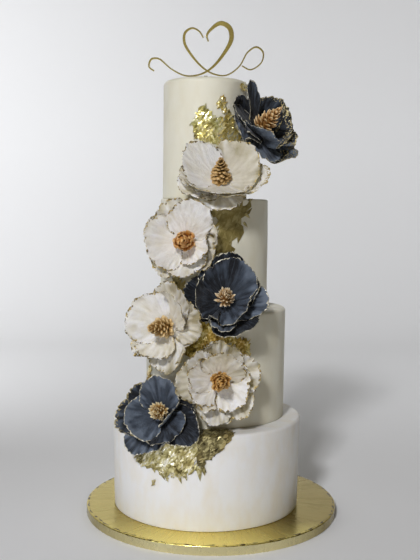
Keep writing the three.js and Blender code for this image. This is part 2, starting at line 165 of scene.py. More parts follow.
# A lathe round Z from [radius, z] points that start and end on the axis.  offset gives
# how far each point is moved outwards, from its angle and height.
def turnedShell(profile, segments, x, y, offset=None):
    profile = np.array(profile, float)
    angle = np.arange(segments) / segments * 2 * math.pi
    r, z = profile[1:-1, 0][:, None], profile[1:-1, 1][:, None]
    r = r + np.zeros(segments)
    z = z + np.zeros(segments)
    if offset is not None:
        r = r + offset(angle[None, :], z, r)
    ring = np.stack([x + r * np.cos(angle), y + r * np.sin(angle), z], axis=-1).reshape(-1, 3)
    points = np.concatenate([ring, [[x, y, profile[0, 1]], [x, y, profile[-1, 1]]]])
    rows = len(profile) - 2
    faces = gridFaces(rows, segments, wrap=True)
    low, high = rows * segments, rows * segments + 1
    top = (rows - 1) * segments
    for k in range(segments):
        after = (k + 1) % segments
        faces.append([low, after, k])
        faces.append([high, top + k, top + after])
    return points, facedOut(points, faces), {}


# The camera stands a little above the middle of the cake and is turned by half a degree.
cameraSettings = {
    "lens": 54.06, "sensor": 36, "place": (-4.14, -1188.53, 422.23), "down": 4.48, "roll": 0.52,
}


def addCamera():
    data = bpy.data.cameras.new("camera")
    data.lens, data.sensor_width = cameraSettings["lens"], cameraSettings["sensor"]
    camera = bpy.data.objects.new("camera", data)
    collection.objects.link(camera)
    tilt = Matrix.Rotation(math.radians(90 - cameraSettings["down"]), 4, "X")
    roll = Matrix.Rotation(math.radians(cameraSettings["roll"]), 4, "Z")
    camera.matrix_world = Matrix.Translation(Vector(cameraSettings["place"]) * mm) @ tilt @ roll
    bpy.context.scene.camera = camera


# A small softbox high on the left front, a wide faint card in front, one low box for
# the bottom tier, and two that light the wall alone, in watts.
lamps = {
    "key": {"place": (-960, -3160, 2450), "aim": (0, 0, 330), "size": 480, "power": 103,
            "colour": "#f9faff"},
    "card": {"place": (500, -3600, 700), "aim": (0, 0, 350), "size": 2600, "power": 3.9,
             "colour": "#ffefcf"},
    "low": {"place": (-560, -760, 110), "aim": (-60, 0, 85), "size": 170, "power": 0.95,
            "colour": "#dfe8ff"},
    "wallLeft": {"place": (-1500, 600, 1000), "aim": (-1450, 2200, 500), "size": 1500, "power": 19.5,
                 "colour": "#f8faff"},
    "wallRight": {"place": (1500, 500, 1000), "aim": (1500, 2000, 100), "size": 1300, "power": 7.5,
                  "colour": "#f6f9ff"},
}
sky = {"colour": "#f4e8d0", "strength": 0.07}
# The paper's half width, front edge, the start and radius of its bend, and its height.
backdrop = {"width": 4200, "front": -3200, "bend": 1500, "radius": 700, "height": 3400, "steps": 24,
            "colour": "#ececeb"}


def addLight(name, place, aim, size, power, colour):
    data = bpy.data.lights.new(name, "AREA")
    data.shape = "SQUARE"
    data.size = size * mm
    data.energy = power
    data.color = linear(colour)[:3]
    light = bpy.data.objects.new(name, data)
    collection.objects.link(light)
    way = (Vector(aim) - Vector(place)).normalized()
    turn = way.to_track_quat("-Z", "Y").to_matrix().to_4x4()
    light.matrix_world = Matrix.Translation(Vector(place) * mm) @ turn


# Paper roll: a floor that bends up into a wall, plain and matt.
def addStage():
    material = newMaterial("mattBackdropPaper", Roughness=0.9, Specular_IOR_Level=0.2,
                           Base_Color=linear(backdrop["colour"]))[0]
    width, bend, radius = backdrop["width"], backdrop["bend"], backdrop["radius"]
    profile = [(backdrop["front"], 0)]
    profile += [(bend + radius * math.sin(a), radius * (1 - math.cos(a)))
                for a in np.linspace(0, math.pi / 2, backdrop["steps"])]
    profile.append((bend + radius, backdrop["height"]))
    points = np.array([(x, y, z) for y, z in profile for x in (-width, width)], float)
    faces = [face[::-1] for face in gridFaces(len(profile), 2)]
    stage = bpy.data.objects.new("backdrop", makeMesh("backdrop", (points, faces, {}), material))
    collection.objects.link(stage)


addCamera()
addStage()
for lampName, lamp in lamps.items():
    addLight(lampName, **lamp)
world = bpy.data.worlds.new("studio")
bpy.context.scene.world = world
world.use_nodes = True
background = world.node_tree.nodes["Background"]
setSockets(background, {"Color": linear(sky["colour"]), "Strength": sky["strength"]})
bpy.context.scene.view_settings.view_transform = "Standard"
print("stage, lights and camera are set")


# Rolled fondant: sugar paste rolled thin and smoothed by hand.  It gives a satin skin
# with soft dents, upright smears, faint pores and a little light under the surface.
# smear is how wide and tall the smears are, dent and pore their size and depth.  The
# pores are coarser than real ones so that they still show.
fondantLook = {
    "white": ("#ecebe8", "#e8e2d5"), "cream": ("#e5e1ce", "#dfd9c2"), "roughness": (0.4, 0.58),
    "smear": (20, 45), "dent": (24, 1.2), "pore": (0.9, 0.12),
}


def rolledFondant(name, colours):
    material, tree, shader = newMaterial(
        name, Subsurface_Weight=0.12, Subsurface_Scale=0.004, Subsurface_Radius=(1.0, 0.8, 0.55),
        Specular_IOR_Level=0.42, IOR=1.45)
    place = addNode(tree, "TexCoord", out="Object")
    wide, tall = [1 / (size * mm) for size in fondantLook["smear"]]
    smeared = addNode(tree, "Mapping", {0: place, "Scale": (wide, wide, tall)})
    mottle = addNode(tree, "TexNoise", {
        "Vector": smeared, "Scale": 1.0, "Detail": 3.0, "Roughness": 0.55})
    smear = addNode(tree, "MapRange", {"Value": mottle, "From Min": 0.4, "From Max": 0.75})
    colour = addNode(tree, "Mix", {0: smear, 6: linear(colours[0]), 7: linear(colours[1])},
                     out=2, data_type="RGBA")
    dull, duller = fondantLook["roughness"]
    gloss = addNode(tree, "MapRange", {
        "Value": mottle, "From Min": 0.35, "From Max": 0.65, "To Min": dull, "To Max": duller})
    (dentSize, dentDepth), (poreSize, poreDepth) = fondantLook["dent"], fondantLook["pore"]
    dents = addNode(tree, "TexNoise", {"Vector": place, "Scale": 1 / (dentSize * mm), "Detail": 1.0})
    pores = addNode(tree, "TexNoise", {
        "Vector": place, "Scale": 1 / (poreSize * mm), "Detail": 2.0, "Roughness": 0.6})
    soft = addNode(tree, "Bump", {"Height": dents, "Strength": 0.35, "Distance": dentDepth * mm})
    fine = addNode(tree, "Bump", {
        "Height": pores, "Strength": 0.22, "Distance": poreDepth * mm, "Normal": soft})
    setSockets(shader, {"Base Color": colour, "Roughness": gloss, "Normal": fine})
    return material


# The tiers, each iced over its own cake: place of the axis, radii, foot, top, and the
# rounding of the upper rim.  gap keeps the icing a hair off what it stands on, and
# topRings are shares of the radius.
tiers = {
    "tier_1": {"x": -7.5, "y": -1.3, "footRadius": 130.6, "radius": 133.2,
               "foot": 12.7, "top": 140.0, "edge": 4},
    "tier_2": {"x": 4.4, "y": -1.3, "footRadius": 97.6, "radius": 98.4,
               "foot": 140.0, "top": 292.6, "edge": 4.5},
    "tier_3": {"x": 1.1, "y": 0, "footRadius": 75.3, "radius": 75.3,
               "foot": 292.6, "top": 443.0, "edge": 2.5},
    "tier_4": {"x": -12.5, "y": 0, "footRadius": 58.9, "radius": 58.9,
               "foot": 443.0, "top": 604.8, "edge": 7},
}
icing = {
    "segments": 240, "rowHeight": 4.5, "rimSteps": 10, "footRound": 1.0, "unevenness": 0.16,
    "gap": 0.05, "topRings": (0.97, 0.85, 0.6, 0.3),
}


def makeTier(name, number, material):
    tier = tiers[name]
    foot, top, edge = tier["foot"] + icing["gap"], tier["top"], tier["edge"]
    footRadius, radius, low = tier["footRadius"], tier["radius"], icing["footRound"]
    profile = [[0, foot], [footRadius * 0.6, foot], [footRadius - low, foot]]
    profile += [[footRadius - low * (1 - math.sin(a)), foot + low * (1 - math.cos(a))]
                for a in np.linspace(0.4, math.pi / 2, 3)]
    side = top - edge - foot - low
    rows = int(side / icing["rowHeight"])
    for i in range(1, rows + 1):
        share = i / rows
        profile.append([footRadius + (radius - footRadius) * share, foot + low + side * share])
    for i in range(1, icing["rimSteps"] + 1):
        turn = i / icing["rimSteps"] * math.pi / 2
        profile.append([radius - edge * (1 - math.cos(turn)), top - edge * (1 - math.sin(turn))])
    profile += [[(radius - edge) * share, top] for share in icing["topRings"]] + [[0, top]]

    # long waves round and up the side, as a hand leaves them
    def hand(angle, z, r):
        waves = (np.sin(3 * angle + number + z / 60) + 0.8 * np.sin(5 * angle - 2 * number - z / 35)
                 + 0.6 * np.sin(9 * angle + z / 22 + number) + 0.35 * np.sin(17 * angle - z / 13))
        height = icing["unevenness"]
        return height * waves * np.clip(r / footRadius, 0, 1) ** 4 - height * 1.2

    shell = turnedShell(profile, icing["segments"], tier["x"], tier["y"], hand)
    return makePiece(name + "_icing", makeMesh(name + "_icing", shell, material), "cream_fondant", name)


whiteFondant = rolledFondant("whiteRolledFondant", fondantLook["white"])
creamFondant = rolledFondant("creamRolledFondant", fondantLook["cream"])
for tierNumber, tierName in enumerate(tiers, 1):
    makeTier(tierName, tierNumber, whiteFondant if tierNumber == 1 else creamFondant)
print("four iced tiers stand")


# Gold foil over a thick card drum: the foil is drawn over the edge in fine pleats and
# glued flat on top.  It gives a bright, slightly rippled mirror with radial streaks.
drumBoard = {
    "radius": 177.8, "height": 12.7, "corner": 1.4, "segments": 420,
    "topRings": (172, 165, 150, 120, 60),
    "pleat": 0.55, "pleatFrom": 172,              # depth, and the radius where they start
    "pleatSizes": ((5, 1.5, 3), (2.2, 4, 8)),     # width, how short they are and seed
    "seam": 0.1,                                  # radians in which they fade at the seam
}
foilLook = {
    # One of these colours is multiplied in as painted shade towards the back and the right.
    "gold": "#f9e274", "paleGold": "#fbec90", "side": "#efe4b2", "paintedShade": "#908660",
    "crease": "#5e4c1c", "roughness": (0.2, 0.32), "ripple": 16,
    "sideTop": 11.5,                              # the side's paler foil reaches up to here
    "streaks": (22, 9, 60),                       # to a radian, and to a metre in and up
    # the crease is a line of painted shade where the foil is folded
    "creaseRadius": 175.2, "creaseWidth": 1.6,    # one crease runs round close to the edge
    "creaseWander": (-2.2, 1.2),                  # how far in and out it strays
    "creaseBreaks": (13, 0, 0),                   # and how often it breaks off
    "paintedShadeFrom": (-0.165, -0.09),                # painted shade sets in between these y, in metres
    "paintedShadeRight": (-0.12, 0.14, 0.64, 0.9),      # and grows between these x, by these shares
}


def goldFoil():
    look = foilLook
    material, tree, shader = newMaterial("embossedGoldFoil", Metallic=1.0)
    place = addNode(tree, "TexCoord", out="Object")
    x, y, z = addNode(tree, "SeparateXYZ", {0: place}).node.outputs
    flat = addNode(tree, "CombineXYZ", {0: x, 1: y})
    radius = addNode(tree, "VectorMath", {0: flat}, out="Value", operation="LENGTH")
    angle = addNode(tree, "Math", {0: y, 1: x}, operation="ARCTAN2")
    # polar coordinates: 1 unit of angle is 178 mm of rim, streaks run in and out
    polar = addNode(tree, "CombineXYZ", {0: angle, 1: radius, 2: z})
    streakPlace = addNode(tree, "Mapping", {0: polar, "Scale": look["streaks"]})
    streaks = addNode(tree, "TexNoise", {
        "Vector": streakPlace, "Scale": 1.0, "Detail": 3.0, "Roughness": 0.55})
    ripples = addNode(tree, "TexNoise", {
        "Vector": place, "Scale": 1 / (look["ripple"] * mm), "Detail": 2.0, "Distortion": 0.6})
    colour = addNode(tree, "Mix", {0: streaks, 6: linear(look["gold"]), 7: linear(look["paleGold"])},
                     out=2, data_type="RGBA")
    # one broken crease wanders round the top, painted dark as the shade in its fold
    breaks = addNode(tree, "Mapping", {0: polar, "Scale": look["creaseBreaks"]})
    broken = addNode(tree, "TexNoise", {"Vector": breaks, "Scale": 1.0, "Detail": 3.0})
    inner, outer = [(look["creaseRadius"] + far) * mm for far in look["creaseWander"]]
    wander = addNode(tree, "MapRange", {
        "Value": broken.node.outputs["Color"], "From Min": 0.3, "From Max": 0.7,
        "To Min": inner, "To Max": outer})
    off = addNode(tree, "Math", {0: radius, 1: wander}, operation="SUBTRACT")
    away = addNode(tree, "Math", {0: off}, operation="ABSOLUTE")
    reach = addNode(tree, "MapRange", {
        "Value": broken, "From Min": 0.46, "From Max": 0.62, "To Max": look["creaseWidth"] * mm})
    crease = addNode(tree, "Math", {0: away, 1: reach}, operation="LESS_THAN")
    tint = addNode(tree, "Mix", {0: crease, 6: colour, 7: linear(look["crease"])},
                   out=2, data_type="RGBA")
    # the side is wrapped in paler foil
    low = addNode(tree, "Math", {0: z, 1: look["sideTop"] * mm}, operation="LESS_THAN")
    wrapped = addNode(tree, "Mix", {0: low, 6: tint, 7: linear(look["side"])}, out=2, data_type="RGBA")
    # the foil is painted darker away from the front, and most on the right, as painted shade
    behind = addNode(tree, "MapRange", {0: y, **dict(enumerate(look["paintedShadeFrom"], 1))})
    rightward = addNode(tree, "MapRange", {0: x, **dict(enumerate(look["paintedShadeRight"], 1))})
    paintedShade = addNode(tree, "Math", {0: behind, 1: rightward}, operation="MULTIPLY")
    shadedFoil = addNode(tree, "Mix", {0: paintedShade, 6: wrapped, 7: linear(look["paintedShade"])},
                   out=2, data_type="RGBA", blend_type="MULTIPLY")
    gloss = addNode(tree, "MapRange", {
        "Value": streaks, "From Min": 0.3, "From Max": 0.7,
        "To Min": look["roughness"][0], "To Max": look["roughness"][1]})
    streaked = addNode(tree, "Bump", {"Height": streaks, "Strength": 0.08, "Distance": 0.5 * mm})
    bump = addNode(tree, "Bump", {
        "Height": ripples, "Strength": 0.14, "Distance": 0.6 * mm, "Normal": streaked})
    setSockets(shader, {"Base Color": shadedFoil, "Roughness": gloss, "Normal": bump})
    return material


def makeDrum(material):
    look = drumBoard
    radius, height, corner = look["radius"] - icing["gap"], look["height"], look["corner"]
    profile = [[0, 0], [90, 0], [150, 0], [radius - corner, 0]]
    profile += [[radius - corner * (1 - math.sin(a)), corner * (1 - math.cos(a))]
                for a in np.linspace(0.3, math.pi / 2, 5)]
    profile += [[radius, z] for z in np.linspace(corner + 1.3, height - corner - 1.3, 5)]
    profile += [[radius - corner * (1 - math.cos(a)), height - corner * (1 - math.sin(a))]
                for a in np.linspace(0, math.pi / 2, 6)]
    profile += [[r, height] for r in look["topRings"]] + [[0, height]]

    # pleats of 5 and 2.2 mm that fade in towards the edge and out at the foil's seam
    def pleats(angle, z, r):
        band = np.clip((r - look["pleatFrom"]) / 4, 0, 1)
        (wide, upWide, seed), (fine, upFine, fineSeed) = look["pleatSizes"]
        folds = (latticeNoise(angle * 178, z * upWide, wide, seed)
                 + 0.6 * latticeNoise(angle * 178, z * upFine, fine, fineSeed))
        seam, whole = look["seam"], 2 * math.pi
        seamless = smoothstep(angle, 0, seam) * (1 - smoothstep(angle, whole - seam, whole))
        return -look["pleat"] * band * seamless * np.abs(folds)

    shell = turnedShell(profile, look["segments"], 0, 0, pleats)
    return makePiece("drum_board", makeMesh("drum_board", shell, material), "gold_foil_board", "drum")


makeDrum(goldFoil())
print("the foil drum is laid")


# Gold leaf: beaten metal, pressed on torn and crumpled.  It gives many small facets with
# ragged edges, each with its own painted glint and painted shade.
def goldLeaf(name, colours, warm, gloss):
    material, tree, shader = newMaterial(name, Metallic=0.6)
    place = addNode(tree, "TexCoord", out="Object")
    facet = addNode(tree, "Attribute", out="Fac", attribute_name="facet")
    stained, clouded, creased = [1 / (size * mm) for size in leafSheet["grains"]]
    stain = addNode(tree, "TexNoise", {"Vector": place, "Scale": stained, "Detail": 3.0})
    # the facet number, moved by stains, picks each face's painted glint and painted shade from the ramp
    mixed = addNode(tree, "Math", {0: facet, 1: 0.45, 2: stain}, operation="MULTIPLY_ADD")
    colour = addNode(tree, "ValToRGB", {0: mixed}, stops=[
        (stop, linear(hexColour)) for stop, hexColour in zip(leafSheet["stops"], colours)])
    cloud = addNode(tree, "TexNoise", {"Vector": place, "Scale": clouded, "Detail": 1.0})
    warmth = addNode(tree, "MapRange", {
        "Value": cloud, "From Min": 0.5, "From Max": 0.62, "To Max": 0.5})
    warmed = addNode(tree, "Mix", {0: warmth, 6: colour, 7: linear(warm)},
                     out=2, data_type="RGBA", blend_type="MULTIPLY")
    shine = addNode(tree, "MapRange", {"Value": facet, "To Min": gloss[1], "To Max": gloss[0]})
    creases = addNode(tree, "TexNoise", {
        "Vector": place, "Scale": creased, "Detail": 3.0, "Distortion": 1.2})
    bump = addNode(tree, "Bump", {"Height": creases, "Strength": 0.5, "Distance": 1.0 * mm})
    setSockets(shader, {"Base Color": warmed, "Roughness": shine, "Normal": bump})
    return material


# Patches of torn leaf: an outline is in x from the tier's axis and h up its side, and
# past the top h runs on inwards over the ledge.  crumple is how high the folds stand,
# facet how long and wide they are, grain the way they run, flakes how many loose ones
# lie on a square millimetre, and a shard is (x, h, tip x, tip h, width).
# leaf names the copy of the leaf's colours that a patch gets, painted lighter or darker for how much
# light falls on it.
leafPatches = {
    "tier_1": {
        "crumple": 2.2, "flakes": 0.02, "leaf": "bright", "facet": (6.2, 2.3), "grain": 52,
        "outlines": [
        [(-94, 102), (-88, 95), (-84, 91), (-65, 88), (-62, 85), (-55, 84), (-49, 85), (-41, 84),
         (-39, 87), (-28, 85), (-25, 87), (-20, 88), (-17, 92), (-14, 95), (-11, 116), (-9, 141),
         (-24, 140), (-40, 131), (-59, 123)],
        [(-70, 77), (-66, 76), (-65, 70), (-69, 68)]],
        "shards": [(-55, 93, -48.5, 76.5, 6), (-60, 90, -53, 79, 5), (-38, 94, -31, 76.5, 7),
                   (-28, 91, -24, 81, 5), (-9, 101, -7, 81, 7), (-3, 98, -1, 88, 5),
                   (-70, 97, -66, 86, 6), (-84, 97, -92, 95, 5), (-44, 90, -41, 82, 4),
                   (-88, 104, -97, 106, 4), (-66, 77, -71, 67, 3)]},
    "tier_1_right": {
        "crumple": 1.6, "flakes": 0.012, "leaf": "dull", "facet": (5.2, 2.4), "grain": 38,
        "outlines": [
        [(-11, 94), (-5, 92), (-2, 93), (-1, 107), (5, 108), (14, 116), (36, 137), (40, 150), (36, 166),
         (10, 170), (-14, 168), (-13, 138)]],
        "shards": [(12, 118, 24, 124, 4), (28, 140, 40, 146, 5), (-4, 100, 1, 92, 4)]},
    "tier_2": {
        "crumple": 0.9, "flakes": 0.01, "leaf": "amber", "facet": (5, 2.6), "grain": 70,
        "outlines": [
        [(-50, 312), (-20, 312), (-18, 283), (-6, 278), (10, 263), (22, 261), (45, 258), (46, 244),
         (44, 236), (33, 239), (24, 252), (-4, 256), (-20, 247), (-23, 237), (-40, 235),
         (-45, 256)],
        [(-90, 217), (-87, 214), (-90, 197), (-96, 195)],
        [(-54, 202), (-46, 211), (-40, 206), (-42, 190), (-50, 182), (-54, 191)]],
        "shards": [(-50, 190, -53, 179, 5), (38, 242, 47, 233, 4), (-89, 200, -95, 192, 4),
                   (-46, 262, -52, 254, 4)]},
    "tier_3": {
        "crumple": 0.8, "flakes": 0.003, "leaf": "shadedOlive", "facet": (9, 4.2), "grain": 62,
        "outlines": [
        [(-7, 432), (20, 433), (49, 442), (47, 434), (46, 423), (37, 420), (34, 411), (41, 407),
         (36, 401), (34, 390), (31, 386), (23, 387), (23, 379), (25, 372), (10, 367), (-3, 371),
         (0, 376), (4, 387), (6, 400), (2, 404), (1, 417), (-6, 424)],
        [(-63, 346), (-46, 339), (-36, 326), (-27, 312), (-20, 304), (-28, 302), (-39, 305),
         (-51, 319)]],
        "shards": [(44, 440, 51, 443, 4), (40, 424, 47, 417, 5), (38, 412, 44, 405, 4),
                   (16, 374, 21, 366, 4), (4, 374, 1, 365, 4), (-50, 330, -55, 322, 4)]},
    "tier_4": {
        "crumple": 2.4, "flakes": 0.02, "leaf": "pale", "facet": (6, 3), "grain": 48,
        "outlines": [
        [(0, 566), (-11, 562), (-11, 555), (-16, 548), (-19, 542), (-17, 535), (-12, 528),
         (-12, 524), (5, 517), (19, 513), (21, 551), (14, 550), (8, 556), (4, 557)]],
        "shards": [(-1, 560, 1, 569, 4), (-13, 544, -21, 540, 5), (8, 532, 14, 516, 6),
                   (2, 530, -2, 518, 5), (-10, 532, -15, 524, 5)]},
    "tier_4_right": {
        "crumple": 2.6, "flakes": 0.024, "leaf": "warm", "facet": (5.4, 2.8), "grain": 58,
        "outlines": [
        [(18, 514), (23, 512), (38, 518), (55, 527), (47, 536), (39, 543), (37, 551), (35, 555),
         (32, 562), (27, 560), (26, 553), (24, 550), (19, 550)],
        [(15, 568), (18, 576), (25, 578), (29, 570), (25, 562), (18, 560)],
        [(47, 597), (51, 603), (56, 600), (55, 592), (49, 589)]],
        "shards": [(24, 556, 28, 565, 6), (20, 572, 14, 567, 4), (22, 574, 24, 581, 4),
                   (30, 548, 38, 556, 5), (50, 598, 46, 592, 3)]},
}
leafSheet = {
    "off": 0.25, "thickness": 0.1,                # room to the icing, and the sheet itself
    "torn": 1.6, "tornSize": 4,                   # how far and how finely edges are torn
    "shake": 0.38, "foldSize": 8,                 # how far corners stray, and a large fold
    "flakeSize": 4.6, "flakeTilt": 0.75,
    "grains": (9, 30, 3.5),                       # stains, warmer clouds and creases
    "stops": (0.4, 0.61, 0.8, 0.94),              # where the ramp has its colours
}
# The ramp from painted shade to painted glint, the tint of the warmer clouds, and the gloss.
# Each patch has its own copy of the ramp, set lighter or darker by how the patch is lit, as painted
# light and painted shade.
litAndShadedLeafColours = {
    "bright": (("#645a30", "#b0a468", "#dad09a", "#fffae4"), "#f2e6c8", (0.2, 0.46)),
    "dull": (("#453c20", "#6e6440", "#948959", "#ccc08c"), "#eeddb8", (0.3, 0.5)),
    "pale": (("#7a7034", "#c0b870", "#e4e0a2", "#fbf6d2"), "#f2dfae", (0.18, 0.42)),
    "warm": (("#94803c", "#dcc468", "#f2e09a", "#fff8d0"), "#f0d0a0", (0.22, 0.44)),
    "amber": (("#6c5a20", "#b0983f", "#d2bb66", "#f4e6a6"), "#ecca98", (0.26, 0.48)),
    "shadedOlive": (("#786a38", "#8d7f4a", "#9c8e58", "#b5a772"), "#eee2bc", (0.36, 0.5)),
}


# The place on a tier's icing for x from the axis and h up the side and over the rim,
# raised by lift.
def onTier(tier, x, h, lift):
    edge, straight = tier["edge"], tier["top"] - tier["edge"]
    past = h - straight
    arc = edge * math.pi / 2
    share = np.clip((h - tier["foot"]) / (straight - tier["foot"]), 0, 1)
    side = tier["footRadius"] + (tier["radius"] - tier["footRadius"]) * share
    turn = np.clip(past / edge, 0, math.pi / 2)
    inward = np.clip(past - arc, 0, None)
    radius = side - edge * (1 - np.cos(turn)) - inward + lift * np.cos(turn)
    z = np.where(past < 0, h, straight + edge * np.sin(turn)) + lift * np.sin(turn)
    angle = np.arcsin(np.clip(x / tier["radius"], -1, 1))
    return np.stack([tier["x"] + radius * np.sin(angle),
                     tier["y"] - radius * np.cos(angle), z], axis=-1)


def isInside(outline, x, h):
    inside = np.zeros(np.shape(x), bool)
    for (x1, h1), (x2, h2) in zip(outline, outline[1:] + outline[:1]):
        crosses = (h1 > h) != (h2 > h)
        inside ^= crosses & (x < (x2 - x1) * (h - h1) / ((h2 - h1) or 1e-9) + x1)
    return inside


# A crumpled sheet: a shaken grid of triangles that runs along the grain inside the
# torn outline.
def leafShell(tier, patch, outline, seed):
    grain = math.radians(patch["grain"])
    turn = np.array([[math.cos(grain), -math.sin(grain)], [math.sin(grain), math.cos(grain)]])
    corners = np.array(outline, float) @ turn
    low, high = corners.min(0) - leafSheet["tornSize"], corners.max(0) + leafSheet["tornSize"]
    steps = np.array(patch["facet"])
    columns, rows = [int(n) for n in np.ceil((high - low) / steps) + 1]
    i, j = np.meshgrid(np.arange(rows), np.arange(columns), indexing="ij")
    random = np.random.default_rng(seed)
    shake = random.uniform(-leafSheet["shake"], leafSheet["shake"], i.shape + (2,))
    place = (low + (np.stack([j + 0.5 * (i % 2), i], axis=-1) + shake) * steps) @ turn.T
    x, h = place[..., 0], place[..., 1]
    fold = (0.45 + 0.45 * latticeNoise(x, h, leafSheet["foldSize"], seed)
            + 0.8 * random.uniform(0, 1, i.shape))
    lift = leafSheet["off"] + patch["crumple"] * 0.5 * np.clip(fold, 0, None)
    points = onTier(tier, x, h, lift).reshape(-1, 3)
    faces = []
    for r in range(rows - 1):
        for c in range(columns - 1):
            a, d = r * columns + c, (r + 1) * columns + c
            b, e = a + 1, d + 1
            faces += [[a, b, e], [a, e, d]] if r % 2 else [[a, b, d], [b, e, d]]
    faces = np.array(faces)
    middleX, middleH = x.ravel()[faces].mean(1), h.ravel()[faces].mean(1)
    tornX, tornH = [
        leafSheet["torn"] * latticeNoise(middleX, middleH, leafSheet["tornSize"], seed + salt)
        for salt in (5, 9)]
    keep = isInside(outline, middleX + tornX, middleH + tornH)
    used = np.unique(faces[keep])
    renumber = np.zeros(len(points), int)
    renumber[used] = np.arange(len(used))
    return points[used], renumber[faces[keep]].tolist(), {}


# A pointed shard of leaf that is folded along its middle and stands off a little: half
# its width at four places along it, and how far left edge, fold and right edge lift.
shardCut = {"halves": ((0, 0.6), (0.3, 1), (0.62, 0.62), (1, 0.02)),
            "lifts": ((-1, 1.1), (0.15, 2.6), (1, 0.9))}


def shardShell(tier, x, h, tipX, tipH, width):
    ahead = np.array([tipX - x, tipH - h], float)
    side = np.array([-ahead[1], ahead[0]]) / np.linalg.norm(ahead)
    points = []
    for share, half in shardCut["halves"]:
        for across, lift in shardCut["lifts"]:
            place = np.array([x, h]) + ahead * share + side * across * half * width / 2
            points.append(onTier(tier, place[0], place[1], leafSheet["off"] + lift * (1 - 0.5 * share)))
    return np.array(points), gridFaces(len(shardCut["halves"]), len(shardCut["lifts"])), {}


# Adds the named inputs of a Geometry Nodes tree, each with its kind and first value, and
# gives them back.
def nodeInputs(tree, inputs):
    for name, (kind, value) in inputs.items():
        socket = tree.interface.new_socket(name, in_out="INPUT", socket_type="NodeSocket" + kind)
        if value is not None:
            socket.default_value = value
    tree.interface.new_socket("Geometry", in_out="OUTPUT", socket_type="NodeSocketGeometry")
    return addNode(tree, "NodeGroupInput").node.outputs


# Runs a Geometry Nodes tree on a mesh and gives back the plain mesh that it makes.
def grown(name, mesh, tree, values):
    carrier = bpy.data.objects.new(name, mesh)
    collection.objects.link(carrier)
    modifier = carrier.modifiers.new(tree.name, "NODES")
    modifier.node_group = tree
    sockets = {item.name: item for item in tree.interface.items_tree if item.in_out == "INPUT"}
    for key, value in values.items():
        modifier[sockets[key].identifier] = value
    evaluated = carrier.evaluated_get(bpy.context.evaluated_depsgraph_get())
    result = bpy.data.meshes.new_from_object(evaluated)
    carrier.modifiers.remove(modifier)
    bpy.data.objects.remove(carrier)
    result.name = name
    return result


# Loose flakes on a sheet of leaf: small bent kites that stand up at all angles.  Every
# face of the whole gets its own number, facet, which picks its painted glint and painted shade.
def looseFlakesTree():
    tree = bpy.data.node_groups.new("looseFlakes", "GeometryNodeTree")
    given = nodeInputs(tree, {
        "Sheet": ("Geometry", None), "Density": ("Float", 9000.0), "Flake Size": ("Float", 0.004),
        "Tilt": ("Float", 0.7), "Seed": ("Int", 1), "Finish": ("Material", None)})
    seed, tilt = given["Seed"], given["Tilt"]
    spots = addNode(tree, "GeometryNodeDistributePointsOnFaces", {
        "Mesh": given["Sheet"], "Density": given["Density"], "Seed": seed}).node.outputs
    disc = addNode(tree, "GeometryNodeMeshCircle", {"Vertices": 5, "Radius": 0.55},
                   fill_type="TRIANGLE_FAN")
    kite = addNode(tree, "GeometryNodeTransform", {"Geometry": disc, "Scale": (1.0, 0.55, 1.0)})
    shaken = addNode(tree, "FunctionNodeRandomValue", {
        0: (-0.16, -0.12, -0.18), 1: (0.16, 0.12, 0.18), "Seed": seed}, data_type="FLOAT_VECTOR")
    flake = addNode(tree, "GeometryNodeSetPosition", {"Geometry": kite, "Offset": shaken})
    sizes = addNode(tree, "FunctionNodeRandomValue", {2: 0.45, 3: 1.25, "Seed": seed},
                    out=1, data_type="FLOAT")
    size = addNode(tree, "Math", {0: sizes, 1: given["Flake Size"]}, operation="MULTIPLY")
    lean = addNode(tree, "Math", {0: tilt, 1: -1.0}, operation="MULTIPLY")
    lows = addNode(tree, "CombineXYZ", {0: lean, 1: lean, 2: -3.1416})
    highs = addNode(tree, "CombineXYZ", {0: tilt, 1: tilt, 2: 3.1416})
    leans = addNode(tree, "FunctionNodeRandomValue", {0: lows, 1: highs, "Seed": seed},
                    data_type="FLOAT_VECTOR")
    turned = addNode(tree, "FunctionNodeRotateRotation", {
        "Rotation": spots["Rotation"], "Rotate By": leans}, rotation_space="LOCAL")
    placed = addNode(tree, "GeometryNodeInstanceOnPoints", {
        "Points": spots["Points"], "Instance": flake, "Rotation": turned, "Scale": size})
    whole = addNode(tree, "GeometryNodeJoinGeometry", {0: given["Sheet"]})
    setSockets(whole.node, {0: placed})
    plain = addNode(tree, "GeometryNodeRealizeInstances", {0: whole})
    lots = addNode(tree, "FunctionNodeRandomValue", {2: 0.0, 3: 1.0, "Seed": seed},
                   out=1, data_type="FLOAT")
    numbered = addNode(tree, "GeometryNodeStoreNamedAttribute", {
        "Geometry": plain, "Name": "facet", "Value": lots}, data_type="FLOAT", domain="FACE")
    finished = addNode(tree, "GeometryNodeSetMaterial", {
        "Geometry": numbered, "Material": given["Finish"]})
    addNode(tree, "NodeGroupOutput", {0: finished})
    return tree


def makeLeaf(name, number, tree):
    patch = leafPatches[name]
    material = goldLeaf(patch["leaf"] + "GoldLeafPaintedLight", *litAndShadedLeafColours[patch["leaf"]])
    tier = tiers[name[:6]]
    shells = [leafShell(tier, patch, outline, 10 * number + k)
              for k, outline in enumerate(patch["outlines"])]
    shells += [shardShell(tier, *shard) for shard in patch["shards"]]
    sheet = makeMesh(name + "_sheet", joinShells(shells), material, smooth=False)
    mesh = grown(name + "_leaf", sheet, tree, {
        "Density": patch["flakes"] * 1e6, "Flake Size": leafSheet["flakeSize"] * mm,
        "Tilt": leafSheet["flakeTilt"], "Seed": number, "Finish": material})
    piece = makePiece(name + "_leaf", mesh, "gold_foil_board")
    solid = piece.modifiers.new("thickness", "SOLIDIFY")
    solid.thickness = leafSheet["thickness"] * mm
    return piece


flakesTree = looseFlakesTree()
for patchNumber, patchName in enumerate(leafPatches, 1):
    makeLeaf(patchName, patchNumber, flakesTree)
print("the gold leaf is pressed on")
